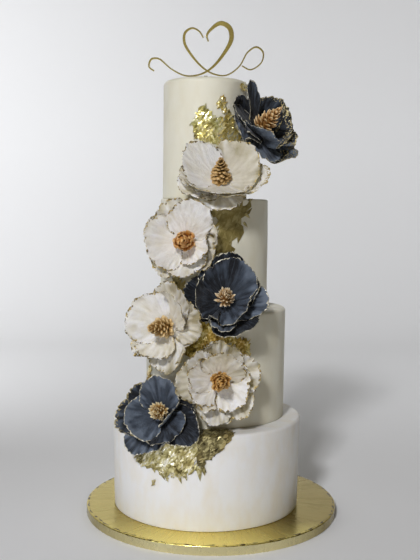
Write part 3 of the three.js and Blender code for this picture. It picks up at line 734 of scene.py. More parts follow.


# Flowers: at is where the axis starts, turn and lift say which way it leans, cone is
# the length and radius of the middle, root the way the stem runs back, pleat and
# crinkle how deep the folds are, and tint how aged the paste is painted, partly as
# painted shade.  A petal is (bearing, length, width, rise, curl, cup, twist, depth), the
# upper ones first; gilded is how much more paint some of them have, shaded how much more
# painted shade and light, and sides how much that painted shade and light change across them.
flowers = {
    "flower_1": {
        "at": (59.4, -42, 535.9), "turn": 50, "lift": 36, "cone": (41, 12.6),
        "root": (-0.86, 0.5, -0.2), "paste": "navy", "tint": 0.2, "pleat": 0.8, "crinkle": 1.5,
        "gilded": {1: 0.4, 2: 0.7, 3: 0.6, 9: 1, 10: 1},
        "shaded": {0: -0.25, 1: -0.25, 2: -0.25, 4: 0.95, 5: -0.3, 6: -0.3, 8: 0.9, 9: 0.85, 10: -0.2},
        "petals": [
            (120, 66, 13, 25, 46, 6, -0.3, 0), (43, 62, 24, 10, 60, 5, 0.05, -0.8),
            (20, 62, 33, 10, 56, 5, 0.05, -0.8), (-15, 52, 32, 15, 76, 5, 0.05, -0.8),
            (236, 44, 32, 5, 64, 4, 0, -1.2), (165, 59, 30, 5, 24, 4, 0.05, -1.5),
            (134, 60, 26, 8, 35, 4, 0, -2.5), (181, 58, 26, 3, 22, 4, 0, -3),
            (265, 52, 34, -4, 5, 3, 0, -6), (310, 64, 34, 0, 32, 3, 0, -6.5),
            (344, 68, 32, 0, 42, 3, 0, -6.5)]},
    "flower_2": {
        "at": (8.4, -86, 465.3), "turn": 0, "lift": 43, "cone": (36.5, 13.6),
        "root": (0, 0.73, -0.68), "paste": "white", "tint": 0.3, "pleat": 0.75, "crinkle": 1.4,
        "gilded": {7: 0.35},
        "shaded": {0: -0.4, 1: 0.38, 4: 0.1, 5: -0.2, 6: -0.3, 7: -0.3, 8: -0.2}, "petals": [
            (149, 65, 36, 10, 52, 6, 0.05, 0), (40, 65, 39, 10, 52, 6, 0.05, -0.8),
            (250, 56, 40, 12, 46, 6, 0.05, -1.6), (92, 58, 30, 8, 45, 4, 0, -3),
            (-62, 54, 26, 8, 42, 4, 0, -2.5), (175, 61, 28, 0, 38, 4, 0, -5),
            (197, 59, 28, 0, 15, 3, 0, -5), (8, 70, 27, 0, 28, 3, 0, -5),
            (-90, 48, 34, -8, 6, 3, 0, -6)]},
    "flower_3": {
        "at": (-37.4, -84, 386.3), "turn": -4, "lift": 3, "cone": (42, 14),
        "root": (0.07, 1, -0.05), "paste": "white", "tint": 0.1, "pleat": 0.85, "crinkle": 1.6,
        "gilded": {},
        "shaded": {3: 0.15, 7: 0.3, 8: 0.3}, "petals": [
            (76, 63, 29, 8, 38, 5, 0.05, 0), (185, 57, 38, 8, 40, 5, 0.05, -0.5),
            (-38, 42, 25, 15, 58, 5, 0.05, 0.5), (262, 52, 34, 8, 42, 5, 0.05, -1.5),
            (118, 61, 30, 0, 30, 3, 0, -5), (150, 58, 30, 0, 32, 3, 0, -4.5),
            (226, 57, 30, 0, 30, 3, 0, -5), (-48, 50, 32, 0, 40, 3, 0, -5),
            (12, 49, 34, 0, 42, 3, 0, -4.5)]},
    "flower_4": {
        "at": (14.9, -106, 309.7), "turn": 3, "lift": 26, "cone": (38, 11.2),
        "root": (0, 0.76, -0.65), "paste": "navy", "tint": 0.42, "pleat": 0.8, "crinkle": 1.3,
        "gilded": {},
        "shaded": {0: -0.22, 1: -0.38, 2: 0.25, 3: -0.4, 4: -0.3, 5: -0.3, 6: -0.5, 7: 0.5, 8: 0.3,
                   9: -0.8},
        "sides": {0: -0.34}, "petals": [
            (74, 60, 36, 10, 54, 5, 0.05, 0), (156, 53, 37, 8, 74, 5, 0.05, -0.8),
            (-32, 45, 33, 12, 62, 5, 0.05, -0.8), (236, 42, 30, 12, 56, 5, 0.05, -1.6),
            (88, 66, 36, 0, 42, 3, 0, -6.5), (38, 54, 26, 0, 42, 3, 0, -6),
            (172, 60, 30, 0, 35, 3, 0, -6.5), (-2, 60, 25, 0, 25, 3, 0, -6.5),
            (262, 56, 20, 5, 50, 3, 0, -5), (-55, 60, 36, -5, 48, 4, 0, -6.5)]},
    "flower_5": {
        "at": (-58.5, -97, 274.6), "turn": -32, "lift": 3, "cone": (35.6, 13.5),
        "root": (0.53, 0.85, -0.05), "paste": "white", "tint": 0.16, "pleat": 0.7, "crinkle": 1.9,
        "gilded": {},
        "shaded": {1: 0.45, 2: 0.3, 3: 0.05, 4: 0.45, 5: 0.2, 6: 0.2, 7: 0.3, 8: 0.1}, "petals": [
            (151, 59, 38, 10, 52, 5, 0.05, 0), (63, 60, 28, 10, 52, 5, 0.05, -0.8),
            (224, 52, 34, 10, 44, 5, 0.05, -0.8), (83, 66, 28, 0, 30, 3, 0, -5),
            (17, 60, 29, 0, 22, 3, 0, -5), (-98, 63, 30, 0, 15, 3, 0, -5),
            (238, 60, 34, 5, 44, 3, 0, -3.2), (-58, 56, 26, 5, 44, 3, 0, -4),
            (200, 60, 24, 0, 40, 3, 0, -4.5)]},
    "flower_6": {
        "at": (8, -117, 207.7), "turn": 6, "lift": 2, "cone": (39.6, 12.2),
        "root": (-0.1, 1, -0.03), "paste": "white", "tint": 0.32, "pleat": 0.8, "crinkle": 1.8,
        "gilded": {},
        "shaded": {0: 0.25, 1: -0.25, 2: -0.1, 3: -0.15, 6: 0.15}, "petals": [
            (69, 43, 31, 8, 45, 4, 0.05, 0), (-24, 46, 32, 8, 44, 4, 0.05, 0),
            (157, 49, 23, 8, 40, 4, 0.05, -0.8), (205, 46, 25, 8, 42, 4, 0.05, -0.8),
            (240, 47, 18, 8, 42, 4, 0.05, -1.5), (136, 55, 24, 5, 38, 3, 0, -2),
            (85, 53, 32, 0, 25, 3, 0, -5), (18, 57, 30, 0, 25, 3, 0, -5),
            (-50, 60, 26, 0, 26, 3, 0, -5), (-97, 61, 26, 0, 22, 3, 0, -5),
            (-75, 58, 20, 0, 25, 3, 0, -4), (184, 59, 30, 0, 28, 3, 0, -5)]},
    "flower_7": {
        "at": (-66.5, -120, 165.8), "turn": -10, "lift": 12, "cone": (35, 11.2),
        "root": (0.23, 0.66, -0.71), "paste": "navy", "tint": 1.0, "pleat": 1.1, "crinkle": 1.4,
        "gilded": {4: 0.2, 5: 0.3},
        "shaded": {0: -0.05, 1: 0.15, 2: -0.45, 3: -0.7, 4: -0.5, 5: -0.5, 6: 0.05, 7: -0.9, 8: -0.95},
        "sides": {0: -0.1, 3: 0.3}, "petals": [
            (92, 54, 27, 8, 44, 5, 0.05, 0), (200, 49, 30, 8, 45, 5, 0.05, -0.3),
            (-38, 31, 29, 10, 105, 4, 0, -0.8), (-62, 52, 29, 8, 70, 5, 0.05, -2.2),
            (145, 51, 24, 0, 25, 3, 0, -6), (190, 64, 26, 0, 20, 3, 0, -6),
            (235, 64, 28, 0, 15, 3, 0, -6.5), (-31, 62, 28, 0, 30, 4, 0, -6.5),
            (8, 47, 28, 0, 25, 3, 0, -6)]},
}
# Where two flowers touch, the later one in this list is bent behind the earlier.
stackingOrder = ["flower_3", "flower_6", "flower_5", "flower_2", "flower_4", "flower_7", "flower_1"]

petalCut = {
    "columns": 101, "rows": 28,                   # the grid across and along a petal
    "fan": 78, "waist": 0.62, "claw": 0.12,       # how it fans out, its waist and its claw
    "clawThickness": 1.3, "rimThickness": 0.5,
    "ragged": ((0.035, 3), (0.02, 7)),            # how far and how often the rim wanders
    "tears": (1.1, 0.6, 2.6),                     # depth of coarse and fine tears and notches
    "tearSizes": (5, 2, 3.6),                     # and their width
    "frill": (0.7, 2.2), "roll": 1.6,             # how high the rim ruffles and rolls
    "apart": 1.7, "offCake": 2.1,                 # room between petals, and to the icing
    "cover": (11, 20),                            # how far out one presses on the next
    "farBehind": (16, 30),                        # how deep under another flower it doesn't
    "outerDepth": -3.5,                           # petals deeper than this are the outer whorl
    "outerPleat": 1.6, "innerCrinkle": 0.35,      # more pleats there, and fewer crinkles inside
}
# Folds of a petal: how many there are to a radian across it, and along its length.
petalFolds = {
    "pleat": (12, 1.1), "widePleat": (6, 1), "crinkle": (9, 5),
    "frill": (4.5, 0), "fineFrill": (11, 0), "roll": (3, 0),
}
stem = {
    "base": 8, "tip": 6, "segments": 24,          # radii at the flower and at the end
    "front": 3, "length": 60,                     # how far in front it starts and behind it ends
    "hub": [[0, -6], [9, -6], [12, -4], [12.5, -1.5], [11, 1.8], [7, 3.1], [0, 3.2]],
    "hubSegments": 40,
}


def flowerFrame(flower):
    turn, lift = math.radians(flower["turn"]), math.radians(flower["lift"])
    out = np.array([math.sin(turn) * math.cos(lift), -math.cos(turn) * math.cos(lift), math.sin(lift)])
    right = np.cross([0, 0, 1], out)
    right /= np.linalg.norm(right)
    return np.stack([right, np.cross(out, right), out]), np.array(flower["at"], float)


# A repeatable number from 0 to 2 pi for each petal, which sets how its rim wanders.
def phaseOf(name, index, which):
    number = int(name[-1])
    mixed = math.sin(12.9898 * (index + 7 * number + 1) + 78.233 * which) * 43758.5453
    return (mixed - math.floor(mixed)) * 2 * math.pi


# The rim's distance from the claw, over the angle fan off the petal's midline.
def rimReach(length, fan, phases):
    ragged = 1
    for (share, times), phase in zip(petalCut["ragged"], phases):
        ragged = ragged + share * np.sin(times * fan + phase)
    return length * np.sqrt(np.clip(np.cos(fan), 0, 1)) * ragged


# Height of a petal's side over its midline.
def sideLift(petal, along, across):
    _, length, width, _, _, cup, twist, _ = petal
    return (cup * (across / width) ** 2 * smoothstep(along, 0, 0.7 * length)
            + twist * across * smoothstep(np.hypot(across, along), 0, 0.5 * length))


def turnedBy(points, degrees):
    angle = math.radians(degrees)
    c, s = math.cos(angle), math.sin(angle)
    return np.stack([c * points[..., 0] - s * points[..., 1],
                     s * points[..., 0] + c * points[..., 1], points[..., 2]], axis=-1)


# Points of a petal's middle surface in the flower's own frame, over rows of v out
# from the claw and columns of u across, with the distance in from the rim and how high
# the folds stand there, from -1 to 1.
def petalSurface(petal, phases, pleat, crinkle):
    bearing, length, width, rise, curl, _, _, depth = petal
    seed, claw = 3 * phases[0], petalCut["claw"]
    u = np.linspace(-1, 1, petalCut["columns"])[None, :]
    v = (claw + (1 - claw) * np.linspace(0, 1, petalCut["rows"]) ** 0.8)[:, None]
    fan = math.radians(petalCut["fan"]) * u
    full = rimReach(length, fan, phases)

    # the rim is torn by coarse and fine noise and by a few deeper notches
    def tear(size, salt):
        return latticeNoise(fan * length, 0, size, seed + salt)

    coarse, fine, notch = petalCut["tears"]
    coarseSize, fineSize, notchSize = petalCut["tearSizes"]
    torn = (coarse * tear(coarseSize, 0) + fine * tear(fineSize, 3)
            - notch * smoothstep(tear(notchSize, 11), 0.5, 0.9))
    reach = np.maximum(full * v + torn * v ** 6, 0)
    along, across = reach * np.cos(fan), reach * np.sin(fan) * width / (petalCut["waist"] * length)
    bend, start = math.radians(curl - rise) / length, math.radians(rise)
    slope = start + bend * along
    outward = (np.sin(slope) - math.sin(start)) / bend
    upward = (math.cos(start) - np.cos(slope)) / bend

    # pleats run outwards, crinkles lie across them, the rim ruffles and rolls
    def fold(kind, salt):
        wide, far = petalFolds[kind]
        return latticeNoise(fan * wide, v * far, 1, seed + salt)

    outer = depth < petalCut["outerDepth"]
    own = crinkle if outer else petalCut["innerCrinkle"] * crinkle
    pleat = petalCut["outerPleat"] * pleat if outer else pleat
    pleats = (0.7 * fold("pleat", 5) + 0.6 * fold("widePleat", 6)) * v ** 1.3
    crinkles = fold("crinkle", 7) * v
    low, high = petalCut["frill"]
    frill = low + (high - low) * phases[1] / (2 * math.pi)
    ruffle = frill * v ** 5 * (0.6 + fold("frill", 13) + 0.4 * fold("fineFrill", 15))
    roll = petalCut["roll"] * fold("roll", 17) * smoothstep(v, 0.84, 1.02)
    lifted = sideLift(petal, along, across) + pleat * pleats + own * crinkles + ruffle + roll
    folds = np.clip(0.9 * pleats + 0.8 * crinkles * (0.5 + own) + 0.3 * (ruffle + roll), -1, 1)
    points = np.stack([outward - lifted * np.sin(slope), across + 0 * v,
                       upward + lifted * np.cos(slope) + depth], axis=-1)
    fromSide = reach * np.sin(math.radians(petalCut["fan"]) * (1 - np.abs(u)))
    return turnedBy(points, bearing), np.minimum((1 - v) * full, fromSide), folds


# Where a petal lies over the given points of its flower's frame: its height there, how
# much room a petal under it needs, and how surely it covers them, from 0 to 1.
def petalCover(petal, phases, points):
    bearing, length, width, rise, curl, _, _, depth = petal
    local = turnedBy(points, -bearing)
    radial, across = local[..., 0], local[..., 1]
    bend, start = math.radians(curl - rise) / length, math.radians(rise)
    slope = np.arcsin(np.clip(math.sin(start) + bend * radial, -0.94, 0.94))
    along = (slope - start) / bend
    wide = across * petalCut["waist"] * length / width
    fan = np.arctan2(wide, along)
    covered = (radial > 0) & (np.abs(fan) < math.radians(petalCut["fan"]))
    reach = np.maximum(rimReach(length, np.where(covered, fan, 0), phases), 1e-3)
    inside = 1 - np.hypot(along, wide) / reach
    upward = (math.cos(start) - np.cos(slope)) / bend
    height = upward + sideLift(petal, along, across) / np.cos(slope) + depth
    near = smoothstep(np.hypot(radial, across), *petalCut["cover"])
    return height, petalCut["apart"] / np.cos(slope), covered * near * smoothstep(inside, -0.12, 0)


# Moves points that would lie in a tier out to its side or up on its top.
def clearOfTiers(points, off):
    points = points.copy()
    for tier in tiers.values():
        away = points[..., :2] - [tier["x"], tier["y"]]
        distance = np.maximum(np.linalg.norm(away, axis=-1), 1e-6)
        outBy = tier["radius"] + off - distance
        upBy = tier["top"] + off - points[..., 2]
        inIt = (outBy > 0) & (upBy > 0) & (points[..., 2] > tier["foot"] - off)
        beside = inIt & (outBy <= upBy + 4)
        stretch = np.where(beside, (tier["radius"] + off) / distance, 1)[..., None]
        points[..., :2] = [tier["x"], tier["y"]] + away * stretch
        points[..., 2] += np.where(inIt & ~beside, upBy, 0)
    return points


# Lowers points under the petals of earlier flowers.
def behindOthers(points, earlier):
    for frameOf, middle, settled in earlier:
        local = (points - middle) @ frameOf.T
        for petal, phases in settled:
            height, apart, under = petalCover(petal, phases, local)
            excess = local[..., 2] - (height - apart * 1.3)
            fade = 1 - smoothstep(excess, *petalCut["farBehind"])
            local[..., 2] -= np.clip(excess, 0, None) * under * fade
        points = local @ frameOf + middle
    return points


# A thin closed sheet round a grid of middle points, with its own thickness at each row.
def sheetShell(middle, thickness, values):
    rows, columns = middle.shape[:2]
    normal = np.cross(np.gradient(middle, axis=0), np.gradient(middle, axis=1))
    normal /= np.maximum(np.linalg.norm(normal, axis=-1, keepdims=True), 1e-9)
    half = normal * thickness[:, None, None] / 2
    points = np.concatenate([(middle + half).reshape(-1, 3), (middle - half).reshape(-1, 3)])
    index = np.arange(rows * columns).reshape(rows, columns)
    loop = np.concatenate([index[0, :-1], index[:-1, -1], index[-1, :0:-1], index[:0:-1, 0]])
    after, count = np.roll(loop, -1), rows * columns
    quads = np.array(gridFaces(rows, columns))
    edge = np.stack([loop, loop + count, after + count, after], axis=-1)
    faces = np.concatenate([quads, quads[:, ::-1] + count, edge]).tolist()
    doubled = {key: np.concatenate([value.reshape(count, -1)] * 2) for key, value in values.items()}
    doubled = {key: value if key == "uv" else value[:, 0] for key, value in doubled.items()}
    return points, facedOut(points - points.mean(0), faces), doubled


# The short stem that carries a flower, and the small cushion between claws and cone.
# Neither has veins, folds or paint.
def stemShells(flower):
    front, length = -stem["front"], stem["length"] - stem["front"]
    tip = stem["tip"]
    taper = [[0, front], [stem["base"], front], [tip, length - 1], [tip - 1, length], [0, length]]
    turn = np.array(Vector(flower["root"]).normalized().to_track_quat("Z", "Y").to_matrix())
    frameOf, middle = flowerFrame(flower)
    shells = []
    for profile, segments, matrix, place in ((taper, stem["segments"], turn.T, flower["at"]),
                                             (stem["hub"], stem["hubSegments"], frameOf, middle)):
        points, faces, _ = turnedShell(profile, segments, 0, 0)
        values = {key: np.full(len(points), value) for key, value in
                  (("rim", 40.0), ("tone", flower["tint"]), ("fold", 0.0), ("gilt", 0.0))}
        shells.append((points @ matrix + place, faces, {"uv": np.zeros((len(points), 2)), **values}))
    return shells


# Petal paste: gum paste rolled to half a millimetre at the rim, veined, ruffled and
# dried, then dusted.  It gives a dry, papery skin with fine veins, folds that catch
# the light, helped by painted light on their ridges and painted shade in their hollows,
# and a rim with broken marks of gold paint.
# The fold shade is how far the folds are painted lighter on the ridges and darker in the
# hollows, rimWidth and rimShare how broad the paint on the rim is and where noise lets
# it, veinDepth how deep the veins are, and through how much light comes through.
pasteLooks = {
    # Each paste's three ramp colours run along painted age and shade: white from fresh white to olive
    # shade, navy from near-black shade to pale slate.
    "white": {"rampStart": "#f4f0e6", "rampMiddle": "#d4cbb6", "rampEnd": "#9c906e", "vein": "#d0c8bc",
              "foldShade": -0.34, "rim": ("#5c5238", "#95804c", "#cdb67c"), "gold": "#b8a05c",
              "rimWidth": 3.4, "rimShare": (0.47, 0.6), "veinDepth": 0.4, "through": 0.35},
    "navy": {"rampStart": "#101318", "rampMiddle": "#3d4550", "rampEnd": "#66707d", "vein": "#5a6371",
             "foldShade": 0.6, "rim": ("#857f68", "#c8c1a8", "#f2ecd8"), "gold": "#a8965a",
             "rimWidth": 1.5, "rimShare": (0.43, 0.56), "veinDepth": 0.9, "through": 0.05},
}
# Veins across and along a petal, then grain sizes and how far in flecks of paint lie,
# in millimetres.
pasteGrain = {"veins": (70, 3.2, 1), "dust": 12, "paint": 6, "flecks": 2.6, "spots": 3.4, "crease": 5,
              "skin": 0.8, "gildedInset": 14.0}


def petalPaste(name, look):
    material, tree, shader = newMaterial(
        name, Subsurface_Weight=look["through"], Subsurface_Scale=0.005,
        Subsurface_Radius=(1.0, 0.85, 0.5), Specular_IOR_Level=0.25, Sheen_Weight=0.12,
        Sheen_Roughness=0.5)
    places = addNode(tree, "TexCoord").node.outputs
    rim, tone, fold, gilded = [addNode(tree, "Attribute", out="Fac", attribute_name=key)
                               for key in ("rim", "tone", "fold", "gilt")]
    dust, patch, specks, spots, grain, creases = [
        addNode(tree, "TexNoise", {
            "Vector": places["Object"], "Scale": 1 / (pasteGrain[key] * mm), **more})
        for key, more in (
            ("dust", {"Detail": 5.0, "Roughness": 0.6}), ("paint", {"Detail": 5.0, "Roughness": 0.7}),
            ("flecks", {"Detail": 4.0, "Roughness": 0.6}), ("spots", {}), ("skin", {"Detail": 2.0}),
            ("crease", {"Detail": 3.0, "Distortion": 1.5}))]
    # veins fan out from the claw
    fanned = addNode(tree, "Mapping", {0: places["UV"], "Scale": pasteGrain["veins"]})
    veins = addNode(tree, "TexNoise", {"Vector": fanned, "Scale": 1.0, "Detail": 2.0, "Roughness": 0.6})
    # folds add painted light on their ridges and painted shade in their hollows
    foldShaded = addNode(tree, "Math", {0: fold, 1: look["foldShade"], 2: tone}, operation="MULTIPLY_ADD")
    dustAgeAndShade = addNode(tree, "Math", {0: dust, 1: 0.6, 2: foldShaded}, operation="MULTIPLY_ADD")
    dustAgeAndShadeAt = addNode(tree, "MapRange", {"Value": dustAgeAndShade, "From Min": 0.24, "From Max": 1.3})
    # dust, age and painted shade and light set where each point takes its colour along the ramp
    paste = addNode(tree, "ValToRGB", {0: dustAgeAndShadeAt}, stops=[
        (stop, linear(look[key])) for stop, key in ((0.0, "rampStart"), (0.5, "rampMiddle"), (1.0, "rampEnd"))])
    veinAt = addNode(tree, "MapRange", {
        "Value": veins, "From Min": 0.5, "From Max": 0.75, "To Max": 0.4})
    veined = addNode(tree, "Mix", {0: veinAt, 6: paste, 7: linear(look["vein"])},
                     out=2, data_type="RGBA")
    # paint sits on the rim where noise of a few millimetres lets it, and finer flecks
    # of it lie further in on the gilded petals
    width = addNode(tree, "MapRange", {
        "Value": patch, "From Min": look["rimShare"][0], "From Max": look["rimShare"][1],
        "To Max": look["rimWidth"]})
    marked = addNode(tree, "Math", {0: rim, 1: width}, operation="LESS_THAN")
    inset = addNode(tree, "Math", {0: gilded, 1: pasteGrain["gildedInset"]}, operation="MULTIPLY")
    near = addNode(tree, "Math", {0: rim, 1: inset}, operation="LESS_THAN")
    flecks = addNode(tree, "Math", {0: specks, 1: 0.55}, operation="GREATER_THAN")
    fleck = addNode(tree, "Math", {0: near, 1: flecks}, operation="MULTIPLY")
    gilt = addNode(tree, "Math", {0: marked, 1: fleck}, operation="MAXIMUM")
    metal = addNode(tree, "ValToRGB", {0: spots}, stops=[
        (stop, linear(colour)) for stop, colour in zip((0.38, 0.5, 0.62), look["rim"])])
    # the paint is deeper gold on the gilded petals
    deep = addNode(tree, "Math", {0: near, 1: 0.7}, operation="MULTIPLY")
    paint = addNode(tree, "Mix", {0: deep, 6: metal, 7: linear(look["gold"])}, out=2, data_type="RGBA")
    colour = addNode(tree, "Mix", {0: gilt, 6: veined, 7: paint}, out=2, data_type="RGBA")
    shine = addNode(tree, "MapRange", {"Value": gilt, "To Min": 0.7, "To Max": 0.42})
    glint = addNode(tree, "Math", {0: gilt, 1: 0.5}, operation="MULTIPLY")
    # veins, then dry creases over the whole petal, then the skin's grain
    normal = None
    for height, strength, depth in (
            (veins, look["veinDepth"], 0.4), (creases, 0.8, 1.2), (grain, 0.35, 0.12)):
        sockets = {"Height": height, "Strength": strength, "Distance": depth * mm}
        normal = addNode(tree, "Bump", sockets if normal is None else {**sockets, "Normal": normal})
    setSockets(shader, {"Base Color": colour, "Roughness": shine, "Metallic": glint, "Normal": normal})
    return material


# How aged and shaded a petal is painted at each row: white ones most on the outer whorl,
# navy ones most on the inner whorl, towards the rim, so that navy outer petals stay dark
# near the claw as painted shade under the inner ones; shaded adds painted shade and light.
def petalAgeAndShade(flower, index, v):
    tint, outer = flower["tint"], flower["petals"][index][7] < petalCut["outerDepth"]
    more = flower["shaded"].get(index, 0) * (0.3 + 0.7 * v)
    if flower["paste"] == "white":
        return tint + more + (0.25 * (0.2 + 0.8 * v) if outer else 0)
    return more + tint * (0.7 * v ** 3 if outer else 0.3 + 0.7 * v ** 2)


def makeBloom(name, earlier, material):
    flower = flowers[name]
    frameOf, middle = flowerFrame(flower)
    shells, settled = [], []
    rows, columns = petalCut["rows"], petalCut["columns"]
    v, side = np.linspace(0, 1, rows), np.linspace(-1, 1, columns)
    thickness = petalCut["clawThickness"] + (petalCut["rimThickness"] - petalCut["clawThickness"]) * v
    for index, petal in enumerate(flower["petals"]):
        phases = (phaseOf(name, index, 0), phaseOf(name, index, 1))
        points, rim, folds = petalSurface(petal, phases, flower["pleat"], flower["crinkle"])
        for upper, upperPhases in settled:
            height, apart, under = petalCover(upper, upperPhases, points)
            points[..., 2] -= np.clip(points[..., 2] - (height - apart), 0, None) * under
        settled.append((petal, phases))
        placed = clearOfTiers(behindOthers(points @ frameOf + middle, earlier), petalCut["offCake"])
        # each petal has veins of its own, from its own stretch of the pattern
        uv = np.stack(np.meshgrid(np.linspace(0, 1, columns) + index * 1.37, v), axis=-1)
        # the petal's painted age and shade row by row, with painted shade and light across some petals
        tone = petalAgeAndShade(flower, index, v[:, None]) + flower.get("sides", {}).get(index, 0) * side
        gilt = np.full((rows, columns), float(flower["gilded"].get(index, 0)))
        values = {"uv": uv, "rim": rim, "tone": tone, "fold": folds, "gilt": gilt}
        shells.append(sheetShell(placed, thickness, values))
    shells += stemShells(flower)
    earlier.append((frameOf, middle, settled))
    mesh = makeMesh(name + "_bloom", joinShells(shells), material)
    return makePiece(name + "_bloom", mesh, flower["paste"] + "_petal_paste", name + "_petals")


pastes = {key: petalPaste(key + "PetalPaste", look) for key, look in pasteLooks.items()}
earlierFlowers = []
for flowerName in stackingOrder:
    makeBloom(flowerName, earlierFlowers, pastes[flowers[flowerName]["paste"]])
print("seven blooms are set, front ones first")


# Lustred centres: scales of gum paste set round a cone and brushed with copper dust.
# Each scale is painted dark at its foot, as the shade in the gaps between scales, and pale
# at its tip, partly lustre and partly painted highlight, over a satin metal body.
lustre = {
    "metallic": 0.15, "roughness": (0.32, 0.62), "brush": 2.5,
    # the gap colour is painted shade, and the tip colour partly painted highlight
    "stops": (0.05, 0.45, 0.9),                   # gap, body and tip along a scale
}


def lustredPaste(name, colours):
    material, tree, shader = newMaterial(name, Metallic=lustre["metallic"], Specular_IOR_Level=0.5)
    place = addNode(tree, "TexCoord", out="Object")
    reach = addNode(tree, "Attribute", out="Fac", attribute_name="tip")
    brushed = addNode(tree, "TexNoise", {
        "Vector": place, "Scale": 1 / (lustre["brush"] * mm), "Detail": 3.0})
    # dark at the scale's foot as painted shade between scales, pale at its tip partly as painted
    # highlight
    uneven = addNode(tree, "Math", {0: brushed, 1: 0.4, 2: reach}, operation="MULTIPLY_ADD")
    shifted = addNode(tree, "Math", {0: uneven, 1: 0.2}, operation="SUBTRACT")
    colour = addNode(tree, "ValToRGB", {0: shifted}, stops=[
        (stop, linear(hexColour)) for stop, hexColour in zip(lustre["stops"], colours)])
    shiny, dull = lustre["roughness"]
    gloss = addNode(tree, "MapRange", {"Value": brushed, "To Min": shiny, "To Max": dull})
    bump = addNode(tree, "Bump", {"Height": brushed, "Strength": 0.4, "Distance": 0.4 * mm})
    setSockets(shader, {"Base Color": colour, "Roughness": gloss, "Normal": bump})
    return material


# count scales climb the cone, each turned from the last by turn.  tilts are how far a
# scale leans up from flat at the foot and at the tip, size, long and wide how big it is,
# bend how it curls along itself, and blunt how rounded its end is, from 1 for a spike.
# taper is how far the cone runs to a point instead of a dome, unruly how far the scales
# stray, and aside how far right and up the cone is set from the middle of its flower.
# The colours are those of gap, body and tip: painted shade in the gaps, the body, and a tip that is
# partly painted highlight.
centreLooks = {
    "flower_1": {"count": 54, "turn": 137.5, "tilts": (8, 92), "size": 1.12, "long": 0.86, "wide": 0.74,
                 "bend": -20, "blunt": 1.7, "taper": 0.85, "unruly": 0.2, "aside": (0, 0),
                 "colours": ("#86602e", "#cfa064", "#f0d4a2")},
    "flower_2": {"count": 84, "turn": 43, "tilts": (-4, 82), "size": 1.18, "long": 0.5, "wide": 0.56,
                 "bend": 25, "blunt": 1.9, "taper": 1, "unruly": 0.28, "aside": (0, 1),
                 "colours": ("#4e3a16", "#aa8242", "#d8b67e")},
    "flower_3": {"count": 60, "turn": 137.5, "tilts": (5, 88), "size": 1.1, "long": 0.6, "wide": 0.42,
                 "bend": -70, "blunt": 3, "taper": 0.2, "unruly": 0.6, "aside": (0, 0),
                 "colours": ("#8c4f16", "#cb8636", "#edbf7c")},
    "flower_4": {"count": 58, "turn": 137.5, "tilts": (30, 96), "size": 1.04, "long": 0.9, "wide": 0.48,
                 "bend": -22, "blunt": 1.15, "taper": 0.7, "unruly": 0.3, "aside": (0.4, 0.6),
                 "colours": ("#80592a", "#deb67c", "#fdecca")},
    "flower_5": {"count": 60, "turn": 137.5, "tilts": (14, 88), "size": 1.08, "long": 0.56,
                 "wide": 0.56, "bend": 0, "blunt": 1.9, "taper": 0.35, "unruly": 0.4, "aside": (0, 0),
                 "colours": ("#8e6a34", "#c29c5c", "#e4c892")},
    "flower_6": {"count": 84, "turn": 137.5, "tilts": (6, 90), "size": 1.14, "long": 0.6, "wide": 0.38,
                 "bend": -50, "blunt": 2.6, "taper": 0.3, "unruly": 0.55, "aside": (0, 2.2),
                 "colours": ("#784a16", "#b67c2e", "#e0b670")},
    "flower_7": {"count": 66, "turn": 137.5, "tilts": (30, 98), "size": 1.06, "long": 0.88,
                 "wide": 0.44, "bend": -22, "blunt": 1.15, "taper": 0.6, "unruly": 0.28,
                 "aside": (0.6, 2.2), "colours": ("#8c642c", "#e6bf74", "#fff0c6")},
}
# The solid middle that the scales stand on.
cone = {
    "foot": 3.2, "segments": 32,
    "core": 0.62, "sharp": 0.94,                  # share of the radius, and how it narrows
    "profile": [(0, 0.62), (0.17, 1), (0.45, 0.92), (0.72, 0.68), (0.9, 0.4), (1, 0.12)],
}
# A scale's cut, in shares of its own size.
scaleCut = {
    "stations": 6, "sides": 6,
    "narrow": 0.55, "flare": 1.1, "round": 0.8,   # its foot, how it widens, and its round end
    "thickness": 0.11, "thinning": 0.65, "arch": 0.35,
    "least": (0.02, 0.01),                        # half width and thickness left at the tip
    "ends": (0.05, 0.03),                         # how far foot and tip run on to a point
}


# One scale lying along x with its back up, from a narrow foot to a pointed tip.
def scaleShell(long, wide, bend, blunt):
    cut = scaleCut
    stations, sides = cut["stations"], cut["sides"]
    (leastHalf, leastThick), (footEnd, tipEnd) = cut["least"], cut["ends"]
    angles = np.arange(sides) / sides * 2 * math.pi
    points = []
    x = z = 0.0
    for i in range(stations):
        s = i / (stations - 1)
        widening = cut["narrow"] + cut["flare"] * s
        half = wide / 2 * widening * (1 - s ** blunt) ** cut["round"] + leastHalf
        thick = cut["thickness"] * (1 - cut["thinning"] * s) + leastThick
        turn = math.radians(bend) * s
        if i:
            x += long / (stations - 1) * math.cos(turn)
            z += long / (stations - 1) * math.sin(-turn)
        for a in angles:
            up = thick * math.sin(a) - cut["arch"] * (half * math.cos(a)) ** 2 / wide
            points.append((x + up * math.sin(turn), half * math.cos(a), z + up * math.cos(turn)))
    points += [(-footEnd, 0, 0), (x + tipEnd * math.cos(turn), 0, z - tipEnd * math.sin(turn))]
    points = np.array(points)
    faces = gridFaces(stations, sides, wrap=True)
    last = (stations - 1) * sides
    for k in range(sides):
        after = (k + 1) % sides
        faces += [[stations * sides, after, k], [stations * sides + 1, last + k, last + after]]
    tip = np.clip(np.repeat(np.arange(stations) / (stations - 1), sides), 0, 1)
    return points, facedOut(points, faces), {"tip": np.concatenate([tip, [0, 1]])}


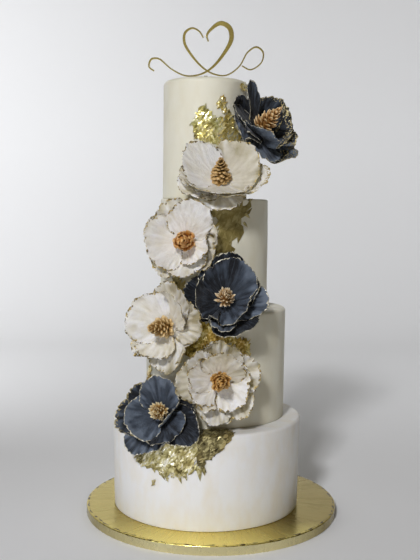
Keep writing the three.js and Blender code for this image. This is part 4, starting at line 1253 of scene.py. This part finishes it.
# The sums that place a scale.  Each row is the result's name, the sum, and what goes
# into it: a number, an input of the tree or an earlier result.  fit is a map range.
scaleSums = [
    # up is how high the scale stands, from 0 to 1, and closer to its neighbours lower down
    ("counted", "ADD", "index", 0.5), ("share", "DIVIDE", "counted", "Count"),
    ("rest", "SUBTRACT", 1.0, "share"), ("left", "POWER", "rest", 0.76),
    ("up", "SUBTRACT", 1.0, "left"),
    # the outline is between a dome and a point, and drawn in at the foot
    ("squared", "MULTIPLY", "up", "up"), ("under", "SUBTRACT", 1.0, "squared"),
    ("dome", "SQRT", "under"), ("point", "MULTIPLY_ADD", "up", -cone["sharp"], 1.0),
    ("outline", "fit", "Taper", 0.0, 1.0, "dome", "point"),
    ("foot", "fit", "up", 0.0, 0.17, 0.62, 1.0), ("drawnIn", "MULTIPLY", "outline", "foot"),
    ("radius", "MULTIPLY", "drawnIn", "Radius"), ("coreRadius", "MULTIPLY", "radius", "Core"),
    ("angle", "MULTIPLY_ADD", "index", "Turn", "strayAngle"),
    ("cosine", "COSINE", "angle"), ("sine", "SINE", "angle"), ("height", "MULTIPLY", "up", "Length"),
    # scales lean up more and more towards the tip
    ("late", "POWER", "up", 1.4), ("lean", "fit", "late", 0.0, 1.0, "Foot Tilt", "Tip Tilt"),
    ("tilt", "MULTIPLY_ADD", "strayTilt", "Unruly", "lean"),
    ("leanOut", "COSINE", "tilt"), ("leanUp", "SINE", "tilt"), ("back", "MULTIPLY", "leanUp", -1.0),
    ("alongX", "MULTIPLY", "cosine", "leanOut"), ("alongY", "MULTIPLY", "sine", "leanOut"),
    ("normalX", "MULTIPLY", "cosine", "back"), ("normalY", "MULTIPLY", "sine", "back"),
    # they get smaller towards the tip, and most on a pointed cone
    ("tipSize", "fit", "Taper", 0.0, 1.0, 0.7, 0.38),
    ("spread", "MULTIPLY_ADD", "straySize", "Unruly", 1.0),
    ("atHeight", "fit", "up", 0.0, 1.0, 1.0, "tipSize"),
    ("spreadSize", "MULTIPLY", "atHeight", "spread"),
    ("size", "MULTIPLY", "spreadSize", "Scale Size"),
]
scaleStrays = {"strayAngle": (-0.12, 0.12), "strayTilt": (-1.0, 1.0), "straySize": (-0.6, 0.5)}


# Scales climb a cone: heights and radii follow the middle's outline, and the angle
# grows by one turn from each scale to the next.
def coneScalesTree():
    tree = bpy.data.node_groups.new("coneScales", "GeometryNodeTree")
    given = nodeInputs(tree, {
        "Scale": ("Geometry", None), "Count": ("Int", 50), "Length": ("Float", 0.04),
        "Radius": ("Float", 0.013), "Core": ("Float", 0.6), "Taper": ("Float", 0.5),
        "Turn": ("Float", 2.4), "Foot Tilt": ("Float", 0.1), "Tip Tilt": ("Float", 1.1),
        "Scale Size": ("Float", 0.012), "Unruly": ("Float", 0.2), "Seed": ("Int", 1),
        "Finish": ("Material", None)})
    made = {"index": addNode(tree, "GeometryNodeInputIndex"), **dict(given.items())}
    for salt, (name, (low, high)) in enumerate(scaleStrays.items(), 1):
        seed = addNode(tree, "Math", {0: given["Seed"], 1: float(salt)}, operation="ADD")
        made[name] = addNode(tree, "FunctionNodeRandomValue", {2: low, 3: high, "Seed": seed},
                             out=1, data_type="FLOAT")
    for name, operation, *values in scaleSums:
        sockets = {k: made.get(value, value) for k, value in enumerate(values)}
        if operation == "fit":
            made[name] = addNode(tree, "MapRange", sockets)
        else:
            made[name] = addNode(tree, "Math", sockets, operation=operation)
    outward, height, along, normal = [
        addNode(tree, "CombineXYZ", {k: made[key] for k, key in enumerate(keys) if key})
        for keys in (("cosine", "sine"), ("", "", "height"), ("alongX", "alongY", "leanUp"),
                     ("normalX", "normalY", "leanOut"))]
    atCore = addNode(tree, "VectorMath", {0: outward, 3: made["coreRadius"]}, operation="SCALE")
    place = addNode(tree, "VectorMath", {0: atCore, 1: height}, operation="ADD")
    turned = addNode(tree, "FunctionNodeAxesToRotation", {0: normal, 1: along},
                     primary_axis="Z", secondary_axis="X")
    line = addNode(tree, "GeometryNodeMeshLine", {"Count": given["Count"]})
    spots = addNode(tree, "GeometryNodeSetPosition", {"Geometry": line, "Position": place})
    placed = addNode(tree, "GeometryNodeInstanceOnPoints", {
        "Points": spots, "Instance": given["Scale"], "Rotation": turned, "Scale": made["size"]})
    plain = addNode(tree, "GeometryNodeRealizeInstances", {0: placed})
    finished = addNode(tree, "GeometryNodeSetMaterial", {
        "Geometry": plain, "Material": given["Finish"]})
    addNode(tree, "NodeGroupOutput", {0: finished})
    return tree


def shellOf(mesh, *keys):
    points = np.zeros(len(mesh.vertices) * 3)
    mesh.vertices.foreach_get("co", points)
    values = {}
    for key in keys:
        values[key] = np.zeros(len(mesh.vertices))
        mesh.attributes[key].data.foreach_get("value", values[key])
    return points.reshape(-1, 3) / mm, [list(face.vertices) for face in mesh.polygons], values


def makeCentre(name, tree):
    flower, look = flowers[name], centreLooks[name]
    length, radius = flower["cone"]
    footTilt, tipTilt = [math.radians(tilt) for tilt in look["tilts"]]
    material = lustredPaste("copperLustrePaste_" + name[-1], look["colours"])
    one = scaleShell(look["long"], look["wide"], look["bend"], look["blunt"])
    seedMesh = makeMesh(name + "_scale", (one[0] / mm, one[1], one[2]), material)
    mesh = grown(name + "_scales", seedMesh, tree, {
        "Count": look["count"], "Length": length * mm, "Radius": radius * mm, "Core": cone["core"],
        "Taper": look["taper"], "Turn": math.radians(look["turn"]), "Foot Tilt": footTilt,
        "Tip Tilt": tipTilt, "Scale Size": radius * look["size"] * mm, "Unruly": look["unruly"],
        "Seed": int(name[-1]), "Finish": material})
    taper = look["taper"]
    profile = [[0, 0]]
    for z, r in cone["profile"]:
        narrowed = min(r, r * (1 - taper) + (1 - cone["sharp"] * z) * taper)
        profile.append([narrowed * radius * cone["core"] * 1.02, z * length])
    profile.append([0, length])
    points, faces, _ = turnedShell(profile, cone["segments"], 0, 0)
    core = (points, faces, {"tip": np.zeros(len(points))})
    points, faces, values = joinShells([shellOf(mesh, "tip"), core])
    frameOf, middle = flowerFrame(flower)
    points = (points + [*look["aside"], cone["foot"]]) @ frameOf + middle
    return makePiece(name + "_cone", makeMesh(name + "_cone", (points, faces, values), material),
                     "copper_centre_paste", name + "_centre")


scalesTree = coneScalesTree()
for flowerName in flowers:
    makeCentre(flowerName, scalesTree)
print("seven scaly centres are in")


# Gold mirror acrylic: 3 mm cast sheet, silvered gold and cut by laser.  It gives sharp
# reflections with a greenish gold cast and polished edges.
# Strokes are in x and z above lift, with the width at each point.  thin is how much
# thinner than the sheet a bar is, so that no two faces of crossing bars lie in a plane.
topper = {
    "x": -12.5, "y": 0, "top": 604.8, "depth": 3, "lift": 5.95, "chamfer": 0.25, "steps": 150,
    "stake": {"width": 5, "low": -28, "high": 9, "thin": 0.24}, "gold": ("#e0d088", "#bcae58"),
    "smear": 18,
    "strokes": [
        {"points": [(3, 50), (1, 58), (7, 67), (20, 75), (32, 69), (35, 54), (25, 34), (8, 14), (-8, 5),
                    (-28, 3), (-48, 12), (-66, 26), (-76, 25), (-79, 15), (-72, 9)],
         "widths": [1.8, 2.6, 4, 6, 6.8, 6.4, 4.6, 3, 2.2, 1.9, 1.8, 2.2, 2.6, 2.2, 1.8], "thin": 0},
        {"points": [(-4, 55), (-9, 63), (-19, 68), (-29, 62), (-30, 48), (-20, 31), (-4, 14),
                    (10, 6), (28, 4), (46, 16), (58, 36), (70, 43), (79, 36), (77, 22), (62, 12),
                    (50, 17)],
         "widths": [1.8, 2, 2.4, 3.4, 3.8, 3.2, 2.4, 2, 1.8, 1.8, 2, 2.4, 2.2, 1.8, 1.7, 1.7],
         "thin": 0.12}],
}


def goldMirrorAcrylic():
    material, tree, shader = newMaterial(
        "goldMirrorAcrylic", Metallic=1.0, Coat_Weight=0.3, Coat_Roughness=0.03)
    place = addNode(tree, "TexCoord", out="Object")
    smear = addNode(tree, "TexNoise", {
        "Vector": place, "Scale": 1 / (topper["smear"] * mm), "Detail": 2.0})
    bright, greenish = [linear(colour) for colour in topper["gold"]]
    colour = addNode(tree, "Mix", {0: smear, 6: bright, 7: greenish}, out=2, data_type="RGBA")
    gloss = addNode(tree, "MapRange", {"Value": smear, "To Min": 0.1, "To Max": 0.3})
    bend = addNode(tree, "Bump", {"Height": smear, "Strength": 0.15, "Distance": 0.6 * mm})
    setSockets(shader, {"Base Color": colour, "Roughness": gloss, "Normal": bend})
    return material


# A smooth curve through points, which keeps its pace where they stand close together.
def strokeLine(points, steps):
    given = np.array(points, float)
    padded = np.concatenate([[2 * given[0] - given[1]], given, [2 * given[-1] - given[-2]]])
    line, way = [], []
    for share in np.linspace(0, 1, steps + 1):
        place = share * (len(given) - 1)
        k = min(int(place), len(given) - 2)
        t = place - k
        a, b, c, d = padded[k:k + 4]
        t0, t1, t2 = [max(np.linalg.norm(q - p) ** 0.5, 1e-4) for p, q in ((a, b), (b, c), (c, d))]
        m1 = ((b - a) / t0 - (c - a) / (t0 + t1) + (c - b) / t1) * t1
        m2 = ((c - b) / t1 - (d - b) / (t1 + t2) + (d - c) / t2) * t1
        line.append(b + m1 * t + (-3 * b + 3 * c - 2 * m1 - m2) * t ** 2
                    + (2 * b - 2 * c + m1 + m2) * t ** 3)
        way.append(m1 + 2 * (-3 * b + 3 * c - 2 * m1 - m2) * t + 3 * (2 * b - 2 * c + m1 + m2) * t ** 2)
    way = np.array(way)
    return np.array(line), way / np.linalg.norm(way, axis=1, keepdims=True)


# A flat bar along a line in x and z, with its edges chamfered.
def barShell(line, way, widths, depth):
    c = topper["chamfer"]
    rings = []
    for place, ahead, width in zip(line, way, widths):
        half, deep = width / 2, depth / 2
        corners = [(half, deep - c), (half - c, deep), (c - half, deep), (-half, deep - c),
                   (-half, c - deep), (c - half, -deep), (half - c, -deep), (half, c - deep)]
        rings.append([(place[0] - ahead[1] * s, y, place[1] + ahead[0] * s) for s, y in corners])
    points = np.array(rings, float).reshape(-1, 3)
    faces = gridFaces(len(rings), 8, wrap=True)
    faces += [list(range(7, -1, -1)), list(range(len(points) - 8, len(points)))]
    return points, facedOut(points - points.mean(0), faces), {}


def makeTopper(material):
    shells = []
    for stroke in topper["strokes"]:
        line, way = strokeLine(stroke["points"], topper["steps"])
        given = stroke["widths"]
        widths = np.interp(np.linspace(0, 1, len(line)), np.linspace(0, 1, len(given)), given)
        depth = topper["depth"] - stroke["thin"]
        shells.append(barShell(line + [0, topper["lift"]], way, widths, depth))
    stake = topper["stake"]
    post = np.array([(0, stake["low"]), (0, stake["high"])], float)
    upright = np.array([(0.0, 1.0)] * 2)
    shells.append(barShell(post, upright, [stake["width"]] * 2, topper["depth"] - stake["thin"]))
    points, faces, values = joinShells(shells)
    points = points + [topper["x"], topper["y"], topper["top"]]
    mesh = makeMesh("topper_scroll", (points, faces, values), material, smooth=False)
    return makePiece("topper_scroll", mesh, "gold_mirror_acrylic", "topper")


makeTopper(goldMirrorAcrylic())
print("the topper stands in the top tier")

bpy.context.view_layer.update()
